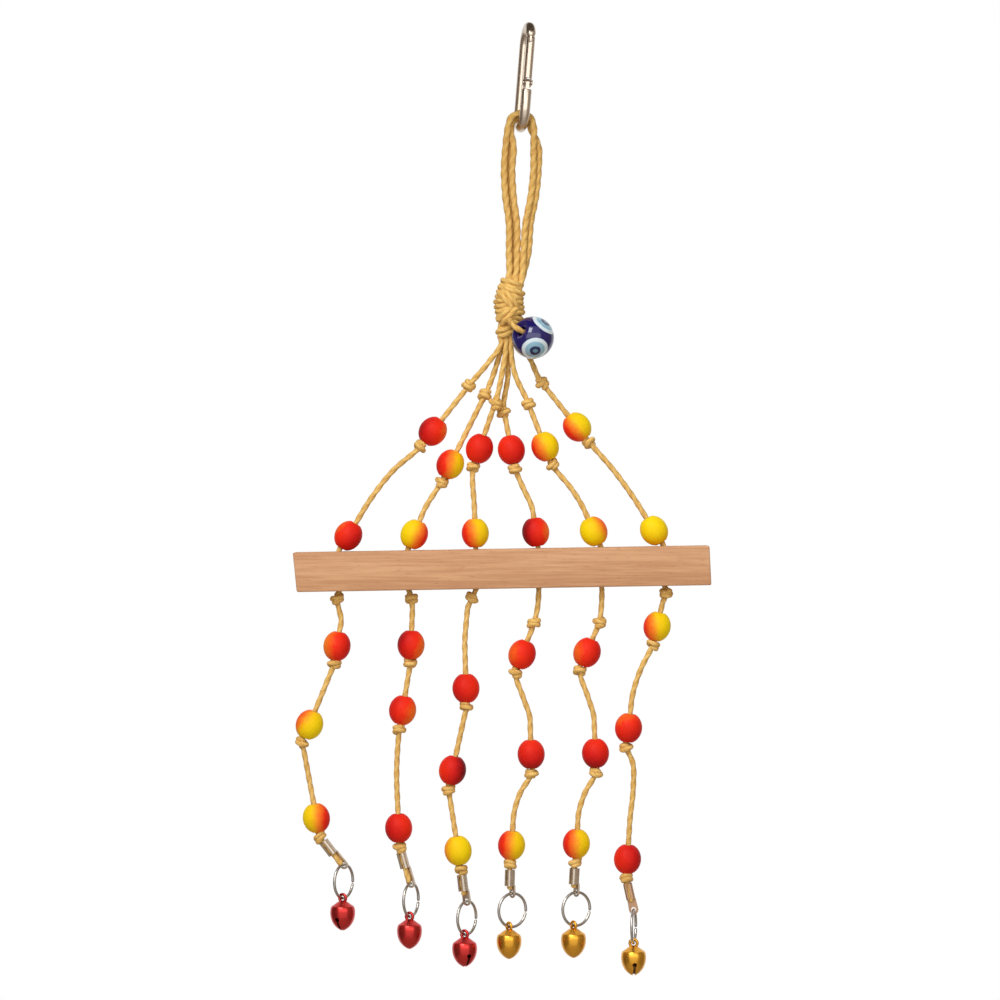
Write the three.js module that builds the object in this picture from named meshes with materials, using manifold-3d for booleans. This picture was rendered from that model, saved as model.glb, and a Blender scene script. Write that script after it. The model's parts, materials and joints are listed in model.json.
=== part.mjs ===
// Beaded curtain toy for a bird cage. A snap hook carries a knotted twine hanger, the hanger carries
// a wooden bar, and six strands of beads hang through the bar, each ending in a jingle bell.
// Millimetres, +Z up, +X along the bar, front towards -Y, origin at the inside top of the hook.
import * as THREE from "three";
import { mergeVertices } from "three/addons/utils/BufferGeometryUtils.js";
import Module from "manifold-3d";

const wasm = await Module();
wasm.setup();

const clearance = 0.3;

// Twine and its small overhand knots
const cordDiameter = 2.2;
const cordSides = 8;
const knotWidth = 4.8;
const knotHeight = 3.6;
const knotFlank = 0.45;
const cordTipAngles = [72, 36];

// Painted beads, slightly taller than they are wide
const beadDiameter = 10.1;
const beadHeight = 11.4;
const beadBore = 3;
const beadLip = 0.5;
const beadSides = 9;
const beadRows = 4;

// Glass eye bead, a short barrel
const eyeBeadDiameter = 15.8;
const eyeBeadLength = 15.4;
const eyeBeadBore = 3.4;
const eyeBeadEndWidth = 8;
const eyeBeadSides = 14;
const eyeBeadRows = 5;
const eyeBeadCentre = [4.4, -7.6, -78.2];
const eyeBeadAxis = [-0.7, -0.6, 0.39];

// Wooden bar, hand drilled, with saw cuts that are a little off square
const barLength = 153.3;
const barHeight = 14.6;
const barDepth = 15;
const barChamfer = 0.5;
const barHole = 4.2;
const barTilt = 0.96;
const barLeftCut = 4.9;
const barRightCut = 1.9;
const barTopCentre = [-6.9, 0, -156.1];
const holeStations = [-60.6, -35, -9.8, 13.3, 36.5, 59.8];
const holeSides = 12;

// Snap hook bent from plated wire, seen nearly edge on from the front
const clipLength = 41;
const wireDiameter = 3.8;
const wireSides = 8;
const bendRadius = 6.6;
const noseRise = 35;
const clipLean = 4.6;
const clipYaw = 9;
const arcStep = 20;
const plateSegments = 4;

// Sprung gate of the hook, its slots, and the rivet it turns on
const gateDiameter = 3.2;
const pinDrop = 19.2;
const pinDiameter = 1.4;
const pinHeadDiameter = 2.4;
const pinHeadHeight = 0.5;
const tongueThickness = 1.2;
const tongueWidth = 2.6;
const earReach = 1.5;
const bladeThickness = 1;
const bladeWidth = 2;
const bladeLap = 1.8;
const slotFloorGap = 0.5;

// Gathering knot: a bound core, three slanting turns of twine and a collar below
const gatherCentre = [-4.3, 0, -64.4];
const gatherWidth = 9.6;
const gatherHeight = 16;
const gatherTurns = 3;
const gatherPitch = 4.2;
const gatherTilt = 18;
const gatherTurnRadius = 4.1;
const gatherTurnThickness = 3;
const neckWidth = 4.8;
const gatherSteps = 10;
const gatherSides = 5;
const collarCentre = [-5.6, 0, -75.6];
const collarWidth = 7.6;
const collarHeight = 5.6;
const collarTilt = 14;
const lumpEndShare = 0.5;
const lumpWaistShare = 0.33;

// Fold-over cord ends, which squeeze the cord
const crimpLength = 6;
const crimpCordDiameter = 1.6;
const crimpWall = 0.5;
const crimpSeam = 1;
const crimpEyeBore = 1.9;
const crimpEyeRim = 0.8;

// Wire rings
const ringDiameter = 13.5;
const ringWire = 1.1;
const ringSteps = 12;
const ringSides = 5;

// Jingle bells of thin sheet, each with one slot across its tip that ends in a round mouth on each side
const bellWidth = 9.6;
const bellHeight = 10.9;
const bellWall = 0.5;
const bellSides = 10;
const bellEyeBore = 1.9;
const bellEyeWire = 0.9;
const bellEyeSink = 0.6;
const bellEyeSides = 5;
const bellEyeSteps = 9;
const bellSlotWidth = 0.9;
const bellSlotRise = 4.4;
const bellMouth = 1.7;
const bellMouthSides = 8;
const bellCrownSteps = 2;
const bellBellySteps = 4;
const bellInnerCrownSteps = 1;
const bellInnerBellySteps = 3;

// The bell's flank as curve handles, in parts of its half width and of its height from the crown
const bellCrown = [[0, 0], [0.4, 0], [0.72, 0.1], [0.97, 0.2]];
const bellBelly = [[0.97, 0.2], [1.11, 0.5], [0.77, 0.91], [0, 1]];

// The hanger's loop: three cords side by side over the hook's lower bend. The lane is where a cord
// crosses the wire, and the offsets place the cords in the loop's two legs and in the bundle below.
const loopCords = [
  {
    lane: -2.35,
    left: [-1.5, -0.7],
    right: [-0.9, -1.1],
    bundleLeft: [-2.4, -1.2],
    bundleRight: [2.4, -1.2],
  },
  { lane: 0, left: [1.5, -0.7], right: [0.95, 0.4], bundleLeft: [0, -1.2], bundleRight: [2.4, 1.2] },
  { lane: 2.35, left: [0, 1.4], right: [-0.9, 2], bundleLeft: [-2.4, 1.2], bundleRight: [0, 1.2] },
];
const loopArcSteps = 6;
const loopSlack = 2.3;
const loopLeft = [[-4.2, -7.4], [-4.7, -15.2], [-4.3, -24.8], [-2.9, -36.3], [-2.9, -45.6]];
const loopRight = [[5.6, -7.4], [5.6, -15.2], [4.7, -24.8], [2.6, -36.3], [1.9, -45.6]];
const loopBundle = [[-2.2, -56.7], [-3.7, -61.5]];

// The hanger's six legs, left to right, as [x, y, z] from the wire centre at the hook's lower bend:
// three points out of the collar, the upper knot, the knot under the bead, then any bends above
// the bar.
const legRoutes = [
  {
    fan: [[-7.6, -1.2, -75.6], [-7.3, -1.2, -80], [-11.6, -1.2, -86.6]],
    upperKnot: [-18.9, 0, -95.2],
    lowerKnot: [-37, 0, -118.1],
    bends: [[-47.4, 0, -127.2], [-55.6, 0, -137.6]],
    beadPaint: "red",
    barBeadPaint: "red",
  },
  {
    fan: [[-7.6, 1.2, -75.6], [-7.2, 1.2, -80], [-9.2, 1.4, -88.5]],
    upperKnot: [-13, 1.2, -98.5],
    lowerKnot: [-29.3, 0, -131.1],
    bends: [[-35.9, 0, -141.9]],
    beadPaint: "orange",
    barBeadPaint: "orange",
  },
  {
    fan: [[-5.5, -1.5, -75.6], [-5.4, -1.5, -79.6], [-6.9, -1.8, -90.7]],
    upperKnot: [-9.3, -1.6, -101.5],
    lowerKnot: [-17.6, 0, -125.6],
    bends: [[-17.2, 0, -141.1]],
    beadPaint: "red",
    barBeadPaint: "orange",
  },
  {
    fan: [[-5.5, 1.2, -75.6], [-5.2, 1.2, -79.6], [-4.8, 1.6, -91.9]],
    upperKnot: [-6.3, 2, -104.8],
    lowerKnot: [-2.2, 0, -126.3],
    bends: [[1.1, 0, -134.1], [4.1, 0, -140.7]],
    beadPaint: "red",
    barBeadPaint: "red",
  },
  {
    fan: [[-3.5, -1.2, -75.6], [-3.7, -1.2, -80], [-2.4, -0.8, -90.7]],
    upperKnot: [2.6, 0, -101.9],
    lowerKnot: [11.5, 0, -124.8],
    bends: [[18.9, 0, -134.1], [22.6, 0, -140]],
    beadPaint: "orange",
    barBeadPaint: "yellow",
  },
  {
    fan: [[-3.2, 1.2, -74.6], [-2, 1.6, -77.6], [3, 2, -84.8]],
    upperKnot: [7.4, 0.6, -94.1],
    lowerKnot: [25.2, 0, -116.5],
    bends: [[34.1, 0, -126.7], [41.9, 0, -137.4]],
    beadPaint: "orange",
    barBeadPaint: "yellow",
  },
];

// The six strands, left to right, as [x, z] from the lower mouth of their hole in the bar: the knot
// tight under the bar if there is one, the point that the strand swings about, then for each span
// its bends and the knot at its end, which carries a bead unless it is bare, and the end fitting.
const strandRoutes = [
  {
    barKnot: [-0.9, -2.6],
    pivot: [-0.2, -6.5],
    spans: [
      { bends: [[0.7, -11]], knot: [-2, -27.3], paint: "orange" },
      { bends: [], knot: [-13.7, -56], paint: "yellow" },
      { bends: [], knot: [-7.2, -91], paint: "orange" },
    ],
    eye: [1.1, -101.8],
    ringTurn: 59,
    bellTurn: 63,
    bellShift: -6,
    bellPaint: "red",
  },
  {
    barKnot: [1.1, -3],
    pivot: [1.5, -6.9],
    spans: [
      { bends: [], knot: [0.7, -27.4], paint: "red" },
      { bends: [], knot: [-3.3, -51.5], paint: "red" },
      { bends: [[-4.3, -72.4]], knot: [-3.3, -95.2], paint: "red" },
    ],
    eye: [0.4, -108.9],
    ringTurn: 65,
    bellTurn: 8,
    bellShift: -12,
    bellPaint: "red",
  },
  {
    barKnot: [-1.5, -3.2],
    pivot: [-3.3, -7.1],
    spans: [
      { bends: [[-4.3, -21]], knot: [-3.7, -43.9], paint: "red" },
      { bends: [], knot: [-10.4, -74.1], paint: "red" },
      { bends: [], knot: [-5.7, -103.9], paint: "yellow" },
    ],
    eye: [-4.3, -115.9],
    ringTurn: 57,
    bellTurn: 115,
    bellShift: -14,
    bellPaint: "red",
  },
  {
    pivot: [0, -1.4],
    spans: [
      { bends: [[-0.4, -6.8]], knot: [-1.9, -13.5], bare: true },
      { bends: [], knot: [-8.7, -31.3], paint: "orange" },
      { bends: [[-5.7, -40.9], [-3.3, -48.3]], knot: [-2.6, -68.7], paint: "red" },
      { bends: [[-6.9, -76.1], [-9.3, -84.3]], knot: [-10.6, -102.4], paint: "orange" },
    ],
    eye: [-10.9, -113.3],
    ringTurn: 36,
    bellTurn: 6,
    bellShift: -14,
    bellPaint: "gold",
  },
  {
    pivot: [0.2, -1.4],
    spans: [
      { bends: [[0, -7.2]], knot: [-0.9, -13.5], bare: true },
      { bends: [], knot: [-8, -30.9], paint: "orange" },
      { bends: [[-5, -40.9], [-2.8, -48.3]], knot: [-1.9, -68.7], paint: "red" },
      { bends: [[-6.1, -76.4], [-8.5, -84.2]], knot: [-9.8, -102.2], paint: "orange" },
    ],
    eye: [-10.4, -113.2],
    ringTurn: 35,
    bellTurn: 4,
    bellShift: -12,
    bellPaint: "gold",
  },
  {
    barKnot: [0.7, -2.5],
    pivot: [-0.6, -6.2],
    spans: [
      { bends: [], knot: [-4.3, -22], paint: "orange" },
      { bends: [[-8.7, -30.9], [-11.9, -41.2]], knot: [-14.1, -59.7], paint: "red" },
      { bends: [[-11.7, -65.7], [-11.5, -74.6], [-12.8, -87.5]], knot: [-14.1, -108.3], paint: "red" },
    ],
    eye: [-11.5, -120.2],
    ringTurn: 81,
    bellTurn: 94,
    bellShift: -4,
    bellPaint: "gold",
  },
];

// Sizes that follow from those above
const cordRadius = cordDiameter / 2;
const wireRadius = wireDiameter / 2;
const topBendCentre = wireRadius - bendRadius;
const lowerBend = clipLength - 1.5 * wireDiameter;
const beadEndWidth = beadBore + 2 * beadLip;
const beadHalf = (beadHeight / 2) * Math.sqrt(1 - (beadEndWidth / beadDiameter) ** 2);
const knotReach = knotHeight / 2;
const knotProfile = [
  { rise: knotReach, radius: cordRadius },
  { rise: knotReach * knotFlank, radius: knotWidth / 2 },
  { rise: -knotReach * knotFlank, radius: knotWidth / 2 },
  { rise: -knotReach, radius: cordRadius },
];
const knotSlope = (knotReach * (1 - knotFlank)) / (knotWidth / 2 - cordRadius);
const knotShoulder = knotSlope * (beadBore / 2 - cordRadius);
const beadSeat = knotReach - knotShoulder + clearance + beadHalf;
const ringRadius = (ringDiameter - ringWire) / 2;

function sine(degrees) {
  return Math.sin(THREE.MathUtils.degToRad(degrees));
}

function cosine(degrees) {
  return Math.cos(THREE.MathUtils.degToRad(degrees));
}

const zAxis = new THREE.Vector3(0, 0, 1);

function vector(point) {
  return new THREE.Vector3(...point);
}

function upright([x, z]) {
  return new THREE.Vector3(x, 0, z);
}

function finish(colour, roughness, metalness) {
  return new THREE.MeshStandardMaterial({ color: colour, roughness, metalness });
}

const twine = finish("#c79a55", 0.85, 0);
const beech = finish("#cf9a6b", 0.7, 0);
const plating = finish("#b9b6ae", 0.25, 1);
const beadPaint = {
  red: finish("#d8281c", 0.55, 0),
  orange: finish("#e8701a", 0.55, 0),
  yellow: finish("#efc512", 0.55, 0),
};
const cobaltGlass = finish("#1b1464", 0.08, 0);
const bellPaint = { red: finish("#a3161c", 0.3, 1), gold: finish("#b5781a", 0.3, 1) };

// A closed geometry as a solid that can be joined and cut
function solidOf(geometry) {
  const bare = geometry.clone();
  bare.deleteAttribute("normal");
  bare.deleteAttribute("uv");
  const welded = mergeVertices(bare);
  const corners = [];
  for (let i = 0; i < welded.index.count; i += 3) {
    const triangle = [welded.index.getX(i), welded.index.getX(i + 1), welded.index.getX(i + 2)];
    if (new Set(triangle).size === triangle.length) {
      corners.push(...triangle);
    }
  }
  return new wasm.Manifold(new wasm.Mesh({
    numProp: 3,
    vertProperties: welded.attributes.position.array,
    triVerts: new Uint32Array(corners),
  }));
}

function geometryOf(solid) {
  const mesh = solid.getMesh();
  const geometry = new THREE.BufferGeometry();
  geometry.setAttribute("position", new THREE.BufferAttribute(mesh.vertProperties, mesh.numProp));
  geometry.setIndex(new THREE.BufferAttribute(mesh.triVerts, 1));
  geometry.computeVertexNormals();
  return geometry;
}

function joined(geometries) {
  const solids = geometries.map(solidOf);
  return geometryOf(solids.reduce((whole, next) => whole.add(next)));
}

function named(name, geometry, material) {
  const mesh = new THREE.Mesh(geometry, material);
  mesh.name = name;
  return mesh;
}

function lathed(outline, sides) {
  return new THREE.LatheGeometry(outline.map(([radius, height]) => new THREE.Vector2(radius, height)), sides);
}

// Turns a geometry's +Z to a direction and moves its origin to a point
function aimed(geometry, direction, point) {
  const turn = new THREE.Quaternion().setFromUnitVectors(zAxis, direction.clone().normalize());
  return geometry.applyQuaternion(turn).translate(point.x, point.y, point.z);
}

// A route laid point by point, with a section of the tube at each point
class LaidRoute extends THREE.Curve {
  constructor(points) {
    super();
    this.points = points;
  }

  pointAt(u) {
    return Math.round(u * (this.points.length - 1));
  }

  getPointAt(u) {
    return this.points[this.pointAt(u)].clone();
  }

  getTangentAt(u) {
    const here = this.pointAt(u);
    const last = this.points.length - 1;
    const step = (from) => this.points[from + 1].clone().sub(this.points[from]).normalize();
    return step(Math.max(here - 1, 0)).add(step(Math.min(here, last - 1))).normalize();
  }
}

function regularOutline(radius, sides) {
  const corners = [];
  for (let i = 0; i < sides; i += 1) {
    const angle = (360 / sides) * i;
    corners.push(new THREE.Vector2(radius * cosine(angle), radius * sine(angle)));
  }
  return new THREE.Shape(corners);
}

function tubeAlong(points, diameter, sides) {
  return new THREE.ExtrudeGeometry(regularOutline(diameter / 2, sides), {
    extrudePath: new LaidRoute(points),
    steps: points.length - 1,
    bevelEnabled: false,
  });
}

function cordAlong(points) {
  return tubeAlong(points, cordDiameter, cordSides);
}

// A cord that swells at its knots. Each stop is a place on the route, with the cord's radius there
// if it isn't the usual one. The upper half of a knot lies along the cord above it and the lower half
// along the cord below it.
function knottedCord(stops) {
  const sections = stops.flatMap(({ at, knot, radius = cordRadius }, i) => {
    if (!knot) {
      return [{ centre: at, radius }];
    }
    const above = stops[i - 1].at.clone().sub(at).normalize();
    const below = i + 1 < stops.length ? at.clone().sub(stops[i + 1].at).normalize() : above;
    return knotProfile.map((section) => {
      const centre = at.clone().addScaledVector(section.rise > 0 ? above : below, section.rise);
      return { centre, radius: section.radius };
    });
  });
  const cord = cordAlong(sections.map((section) => section.centre));
  const corners = cord.attributes.position;
  const corner = new THREE.Vector3();
  for (let i = 0; i < corners.count; i += 1) {
    corner.fromBufferAttribute(corners, i);
    const distances = sections.map((section) => section.centre.distanceTo(corner));
    const { centre, radius } = sections[distances.indexOf(Math.min(...distances))];
    corner.sub(centre).multiplyScalar(radius / cordRadius).add(centre);
    corners.setXYZ(i, corner.x, corner.y, corner.z);
  }
  return cord;
}

// A round lump of tightly wound twine
function woundLump(width, height) {
  const radius = width / 2;
  const half = height / 2;
  const end = radius * lumpEndShare;
  const waist = half * lumpWaistShare;
  const flank = [[end, -half], [radius, -waist], [radius, waist], [end, half]];
  return lathed([[0, -half], ...flank, [0, half]], cordSides).rotateX(Math.PI / 2);
}

// A barrel with a bore, closed on itself, from the outline of its flank
function boredBarrel(diameter, height, bore, endWidth, sides, rows) {
  const endAngle = Math.acos(endWidth / diameter);
  const outline = [];
  for (let i = 0; i <= rows; i += 1) {
    const angle = endAngle * ((2 * i) / rows - 1);
    outline.push(new THREE.Vector2((diameter / 2) * Math.cos(angle), (height / 2) * Math.sin(angle)));
  }
  const end = outline[rows].y;
  outline.push(new THREE.Vector2(bore / 2, end));
  outline.push(new THREE.Vector2(bore / 2, -end));
  outline.push(outline[0].clone());
  return new THREE.LatheGeometry(outline, sides).rotateX(Math.PI / 2);
}

function bead(name, centre, along, material) {
  const shape = boredBarrel(beadDiameter, beadHeight, beadBore, beadEndWidth, beadSides, beadRows);
  const mesh = named(name, shape, material);
  mesh.position.copy(centre);
  mesh.quaternion.setFromUnitVectors(zAxis, along);
  return mesh;
}

// The hook's wire: from the nose over the top, down the spine, round the lower bend, up to the hinge
function clipWire(shoulder) {
  const lowCentre = bendRadius - lowerBend;
  const points = [];
  const noseAngle = 180 - noseRise;
  const topSteps = Math.round(noseAngle / arcStep);
  for (let i = 0; i <= topSteps; i += 1) {
    const angle = noseAngle * (1 - i / topSteps);
    points.push(new THREE.Vector3(0, bendRadius * cosine(angle), topBendCentre + bendRadius * sine(angle)));
  }
  const lowSteps = Math.round(180 / arcStep);
  for (let i = 0; i <= lowSteps; i += 1) {
    const angle = (180 * i) / lowSteps;
    points.push(new THREE.Vector3(0, bendRadius * cosine(angle), lowCentre - bendRadius * sine(angle)));
  }
  points.push(new THREE.Vector3(0, -bendRadius, shoulder));
  return tubeAlong(points, wireDiameter, wireSides);
}

// A plate in the hook's own plane, with its thickness across the hook
function hookPlate(outline, thickness) {
  const plate = new THREE.ExtrudeGeometry(outline, {
    depth: thickness,
    bevelEnabled: false,
    curveSegments: plateSegments,
  });
  return plate.translate(0, 0, -thickness / 2).applyMatrix4(new THREE.Matrix4().makeBasis(
    new THREE.Vector3(0, 1, 0),
    new THREE.Vector3(0, 0, 1),
    new THREE.Vector3(1, 0, 0),
  ));
}

function crossPin(radius, length, sides) {
  return new THREE.CylinderGeometry(radius, radius, length, sides).rotateZ(Math.PI / 2);
}

function makeClip() {
  const shoulder = -pinDrop - Math.hypot(gateDiameter / 2, earReach) - clearance;
  const noseMiddle = topBendCentre + bendRadius * sine(noseRise);
  const gateTop = noseMiddle - wireRadius * sine(noseRise) - clearance;

  const tongue = new THREE.Shape();
  tongue.moveTo(-bendRadius + tongueWidth / 2, shoulder - wireRadius / 2);
  tongue.lineTo(-bendRadius + tongueWidth / 2, -pinDrop);
  tongue.absarc(-bendRadius, -pinDrop, tongueWidth / 2, 0, Math.PI, false);
  tongue.lineTo(-bendRadius - tongueWidth / 2, shoulder - wireRadius / 2);
  const tongueHole = new THREE.Path();
  tongueHole.absarc(-bendRadius, -pinDrop, pinDiameter / 2 + clearance, 0, 2 * Math.PI, true);
  tongue.holes.push(tongueHole);

  const blade = new THREE.Shape();
  const bladeMiddle = -bendRadius * cosine(noseRise) - bladeWidth / 4;
  blade.moveTo(bladeMiddle - bladeWidth / 2, gateTop - bladeLap);
  blade.lineTo(bladeMiddle + bladeWidth / 2, gateTop - bladeLap);
  blade.lineTo(bladeMiddle + bladeWidth / 2, noseMiddle);
  blade.lineTo(bladeMiddle - bladeWidth / 2, noseMiddle);

  const frame = joined([
    clipWire(shoulder),
    hookPlate(tongue, tongueThickness),
    hookPlate(blade, bladeThickness),
  ]);

  const clip = new THREE.Group();
  clip.add(named("clip_frame", frame, plating));
  clip.add(makeGate(gateTop));
  clip.add(makeRivet());
  const leaning = new THREE.Group();
  clip.rotation.z = THREE.MathUtils.degToRad(clipYaw);
  leaning.rotation.y = THREE.MathUtils.degToRad(clipLean);
  leaning.add(clip);
  return leaning;
}

// The gate's own origin is its rivet, about which it swings into the hook
function makeGate(gateTop) {
  const top = gateTop + pinDrop;
  const rod = new THREE.CylinderGeometry(gateDiameter / 2, gateDiameter / 2, top + earReach, wireSides);
  rod.rotateX(Math.PI / 2).translate(0, 0, (top - earReach) / 2);
  const across = 2 * gateDiameter;
  const forkTop = tongueWidth / 2 + slotFloorGap;
  const fork = new THREE.BoxGeometry(tongueThickness + 2 * clearance, across, forkTop + across);
  fork.translate(0, 0, (forkTop - across) / 2);
  const catchDepth = bladeLap + slotFloorGap;
  const latch = new THREE.BoxGeometry(bladeThickness + 2 * clearance, across, 2 * catchDepth);
  latch.translate(0, 0, top);
  const pinHole = crossPin(pinDiameter / 2 + clearance, across, holeSides);
  const solid = solidOf(rod).subtract(solidOf(fork)).subtract(solidOf(latch)).subtract(solidOf(pinHole));
  const gate = named("clip_gate", geometryOf(solid), plating);
  gate.position.set(0, -bendRadius, -pinDrop);
  return gate;
}

function makeRivet() {
  const half = gateDiameter / 2 + clearance;
  const outline = [
    [0, -half - pinHeadHeight], [pinHeadDiameter / 2, -half - pinHeadHeight], [pinHeadDiameter / 2, -half],
    [pinDiameter / 2, -half], [pinDiameter / 2, half], [pinHeadDiameter / 2, half],
    [pinHeadDiameter / 2, half + pinHeadHeight], [0, half + pinHeadHeight],
  ];
  const rivet = named("clip_rivet", lathed(outline, wireSides).rotateZ(Math.PI / 2), plating);
  rivet.position.set(0, -bendRadius, -pinDrop);
  return rivet;
}

// One of the loop's cords, from the gathering knot up one leg, over the wire and down the other
function loopCord({ lane, left, right, bundleLeft, bundleRight }) {
  const rise = bendRadius - Math.sqrt(bendRadius ** 2 - lane ** 2);
  const radius = wireRadius + cordRadius + clearance + loopSlack * rise;
  const laid = (points, [x, y]) => points.map((point) => upright(point).add(new THREE.Vector3(x, y, 0)));
  const arc = [];
  for (let i = 0; i <= loopArcSteps; i += 1) {
    const angle = 180 - (180 / loopArcSteps) * i;
    arc.push(new THREE.Vector3(radius * cosine(angle), lane, rise + radius * sine(angle)));
  }
  const up = [...laid(loopLeft, left), ...laid(loopBundle, bundleLeft)].reverse();
  const down = [...laid(loopRight, right), ...laid(loopBundle, bundleRight)];
  return cordAlong([...up, ...arc, ...down]);
}

function gatheringKnot() {
  const pieces = [woundLump(gatherWidth, gatherHeight).translate(...gatherCentre)];
  for (let i = 0; i < gatherTurns; i += 1) {
    const level = i - (gatherTurns - 1) / 2;
    const tilt = i % 2 ? -gatherTilt : gatherTilt;
    const turn = new THREE.TorusGeometry(gatherTurnRadius, gatherTurnThickness / 2, gatherSides, gatherSteps);
    turn.rotateY(THREE.MathUtils.degToRad(tilt));
    pieces.push(turn.translate(gatherCentre[0], gatherCentre[1], gatherCentre[2] - level * gatherPitch));
  }
  const collar = woundLump(collarWidth, collarHeight).rotateY(THREE.MathUtils.degToRad(-collarTilt));
  pieces.push(collar.translate(...collarCentre));
  const neck = vector(collarCentre).sub(vector(gatherCentre));
  const bundle = new THREE.CylinderGeometry(neckWidth / 2, neckWidth / 2, neck.length(), cordSides);
  bundle.rotateX(Math.PI / 2);
  pieces.push(aimed(bundle, neck, vector(gatherCentre).addScaledVector(neck, 0.5)));
  return pieces;
}

// The tail of the gathering knot that carries the eye bead, with a stopper knot behind the bead
function eyeTail() {
  const centre = vector(eyeBeadCentre);
  const axis = vector(eyeBeadAxis).normalize();
  const half = (eyeBeadLength / 2) * Math.sqrt(1 - (eyeBeadEndWidth / eyeBeadDiameter) ** 2);
  const mouth = centre.clone().addScaledVector(axis, half + cordDiameter);
  const stopper = centre.clone().addScaledVector(axis, -half - clearance - knotReach);
  const inKnot = vector(gatherCentre).lerp(vector(collarCentre), 0.5);
  return knottedCord([{ at: inKnot }, { at: mouth }, { at: centre }, { at: stopper, knot: true }]);
}

// A leg's points near the bar: down through the bar bead and the bar's hole to its lower mouth
function barPassage(route, hole) {
  const lastBend = vector(route.bends[route.bends.length - 1]);
  const along = lastBend.sub(hole.top).normalize();
  const lean = Math.acos(along.dot(hole.up));
  const lowest = Math.hypot((beadDiameter / 2) * Math.sin(lean), (beadHeight / 2) * Math.cos(lean));
  const centre = hole.top.clone().addScaledVector(along, (lowest + clearance) / Math.cos(lean));
  return { along, centre };
}

function barHoles() {
  const tilt = new THREE.Quaternion().setFromAxisAngle(
    new THREE.Vector3(0, 1, 0),
    THREE.MathUtils.degToRad(-barTilt),
  );
  const up = new THREE.Vector3(0, 0, 1).applyQuaternion(tilt);
  return holeStations.map((station) => {
    const top = new THREE.Vector3(station, 0, 0).applyQuaternion(tilt).add(vector(barTopCentre));
    return { up, top, low: top.clone().addScaledVector(up, -barHeight) };
  });
}

// A leg runs from the collar through its beads and the bar to just above the point its strand
// swings about
function legCord(route, strand, hole) {
  const stops = route.fan.map((point) => ({ at: vector(point) }));
  stops.push({ at: vector(route.upperKnot), knot: true }, { at: vector(route.lowerKnot), knot: true });
  stops.push(...route.bends.map((point) => ({ at: vector(point) })));
  stops.push({ at: hole.top }, { at: hole.low.clone().addScaledVector(hole.up, clearance) });
  if (strand.barKnot) {
    stops.push({ at: hole.low.clone().add(upright(strand.barKnot)), knot: true });
  }
  const end = hole.low.clone().add(upright(strand.pivot));
  stops.push({ at: end.add(new THREE.Vector3(0, 0, cordRadius + clearance)) });
  return knottedCord(stops);
}

function makeBar() {
  const half = barLength / 2;
  const outline = new THREE.Shape();
  const leftSkew = (barHeight / 2) * Math.tan(THREE.MathUtils.degToRad(barLeftCut));
  const rightSkew = (barHeight / 2) * Math.tan(THREE.MathUtils.degToRad(barRightCut));
  outline.moveTo(-half + leftSkew + barChamfer, -barHeight + barChamfer);
  outline.lineTo(half + rightSkew - barChamfer, -barHeight + barChamfer);
  outline.lineTo(half - rightSkew - barChamfer, -barChamfer);
  outline.lineTo(-half - leftSkew + barChamfer, -barChamfer);
  const board = new THREE.ExtrudeGeometry(outline, {
    depth: barDepth - 2 * barChamfer,
    bevelThickness: barChamfer,
    bevelSize: barChamfer,
    bevelSegments: 1,
  });
  board.rotateX(Math.PI / 2).translate(0, barDepth / 2 - barChamfer, 0);
  let solid = solidOf(board);
  for (const station of holeStations) {
    const drill = new THREE.CylinderGeometry(barHole / 2, barHole / 2, 2 * barHeight, holeSides);
    solid = solid.subtract(solidOf(drill.rotateX(Math.PI / 2).translate(station, 0, -barHeight / 2)));
  }
  const bar = named("bar", geometryOf(solid), beech);
  bar.position.set(...barTopCentre);
  bar.rotation.y = THREE.MathUtils.degToRad(-barTilt);
  return bar;
}

// A folded sheet round the cord's end: a back plate that tapers to an eye for the ring, two sides
// and two flaps turned in towards the seam. Its +Z runs up the cord and its +X through the eye.
function crimpShape(eyeDrop) {
  const inner = crimpCordDiameter / 2 + clearance;
  const outer = inner + crimpWall;
  const eyeRadius = crimpEyeBore / 2 + crimpEyeRim;
  const plate = new THREE.Shape();
  plate.moveTo(outer, crimpLength);
  plate.lineTo(-outer, crimpLength);
  plate.lineTo(-outer, 0);
  plate.absarc(0, -eyeDrop, eyeRadius, Math.PI, 2 * Math.PI, false);
  plate.lineTo(outer, 0);
  const eyeHole = new THREE.Path();
  eyeHole.absarc(0, -eyeDrop, crimpEyeBore / 2, 0, 2 * Math.PI, true);
  plate.holes.push(eyeHole);
  const back = hookPlate(plate, crimpWall).translate(inner + crimpWall / 2, 0, 0);
  const fold = new THREE.Shape();
  fold.moveTo(outer - crimpWall / 2, outer);
  fold.lineTo(-outer, outer);
  fold.lineTo(-outer, crimpSeam / 2);
  fold.lineTo(-inner, crimpSeam / 2);
  fold.lineTo(-inner, inner);
  fold.lineTo(inner + crimpWall / 2, inner);
  const flaps = [1, -1].map((side) => {
    const flap = new THREE.ExtrudeGeometry(fold, { depth: crimpLength, bevelEnabled: false });
    return side > 0 ? flap : flap.rotateX(Math.PI).translate(0, 0, crimpLength);
  });
  return joined([back, ...flaps]);
}

function ringShape() {
  return new THREE.TorusGeometry(ringRadius, ringWire / 2, ringSides, ringSteps)
    .rotateZ(Math.PI / 2 / ringSteps)
    .rotateX(Math.PI / 2)
    .translate(0, 0, -ringRadius);
}

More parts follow.
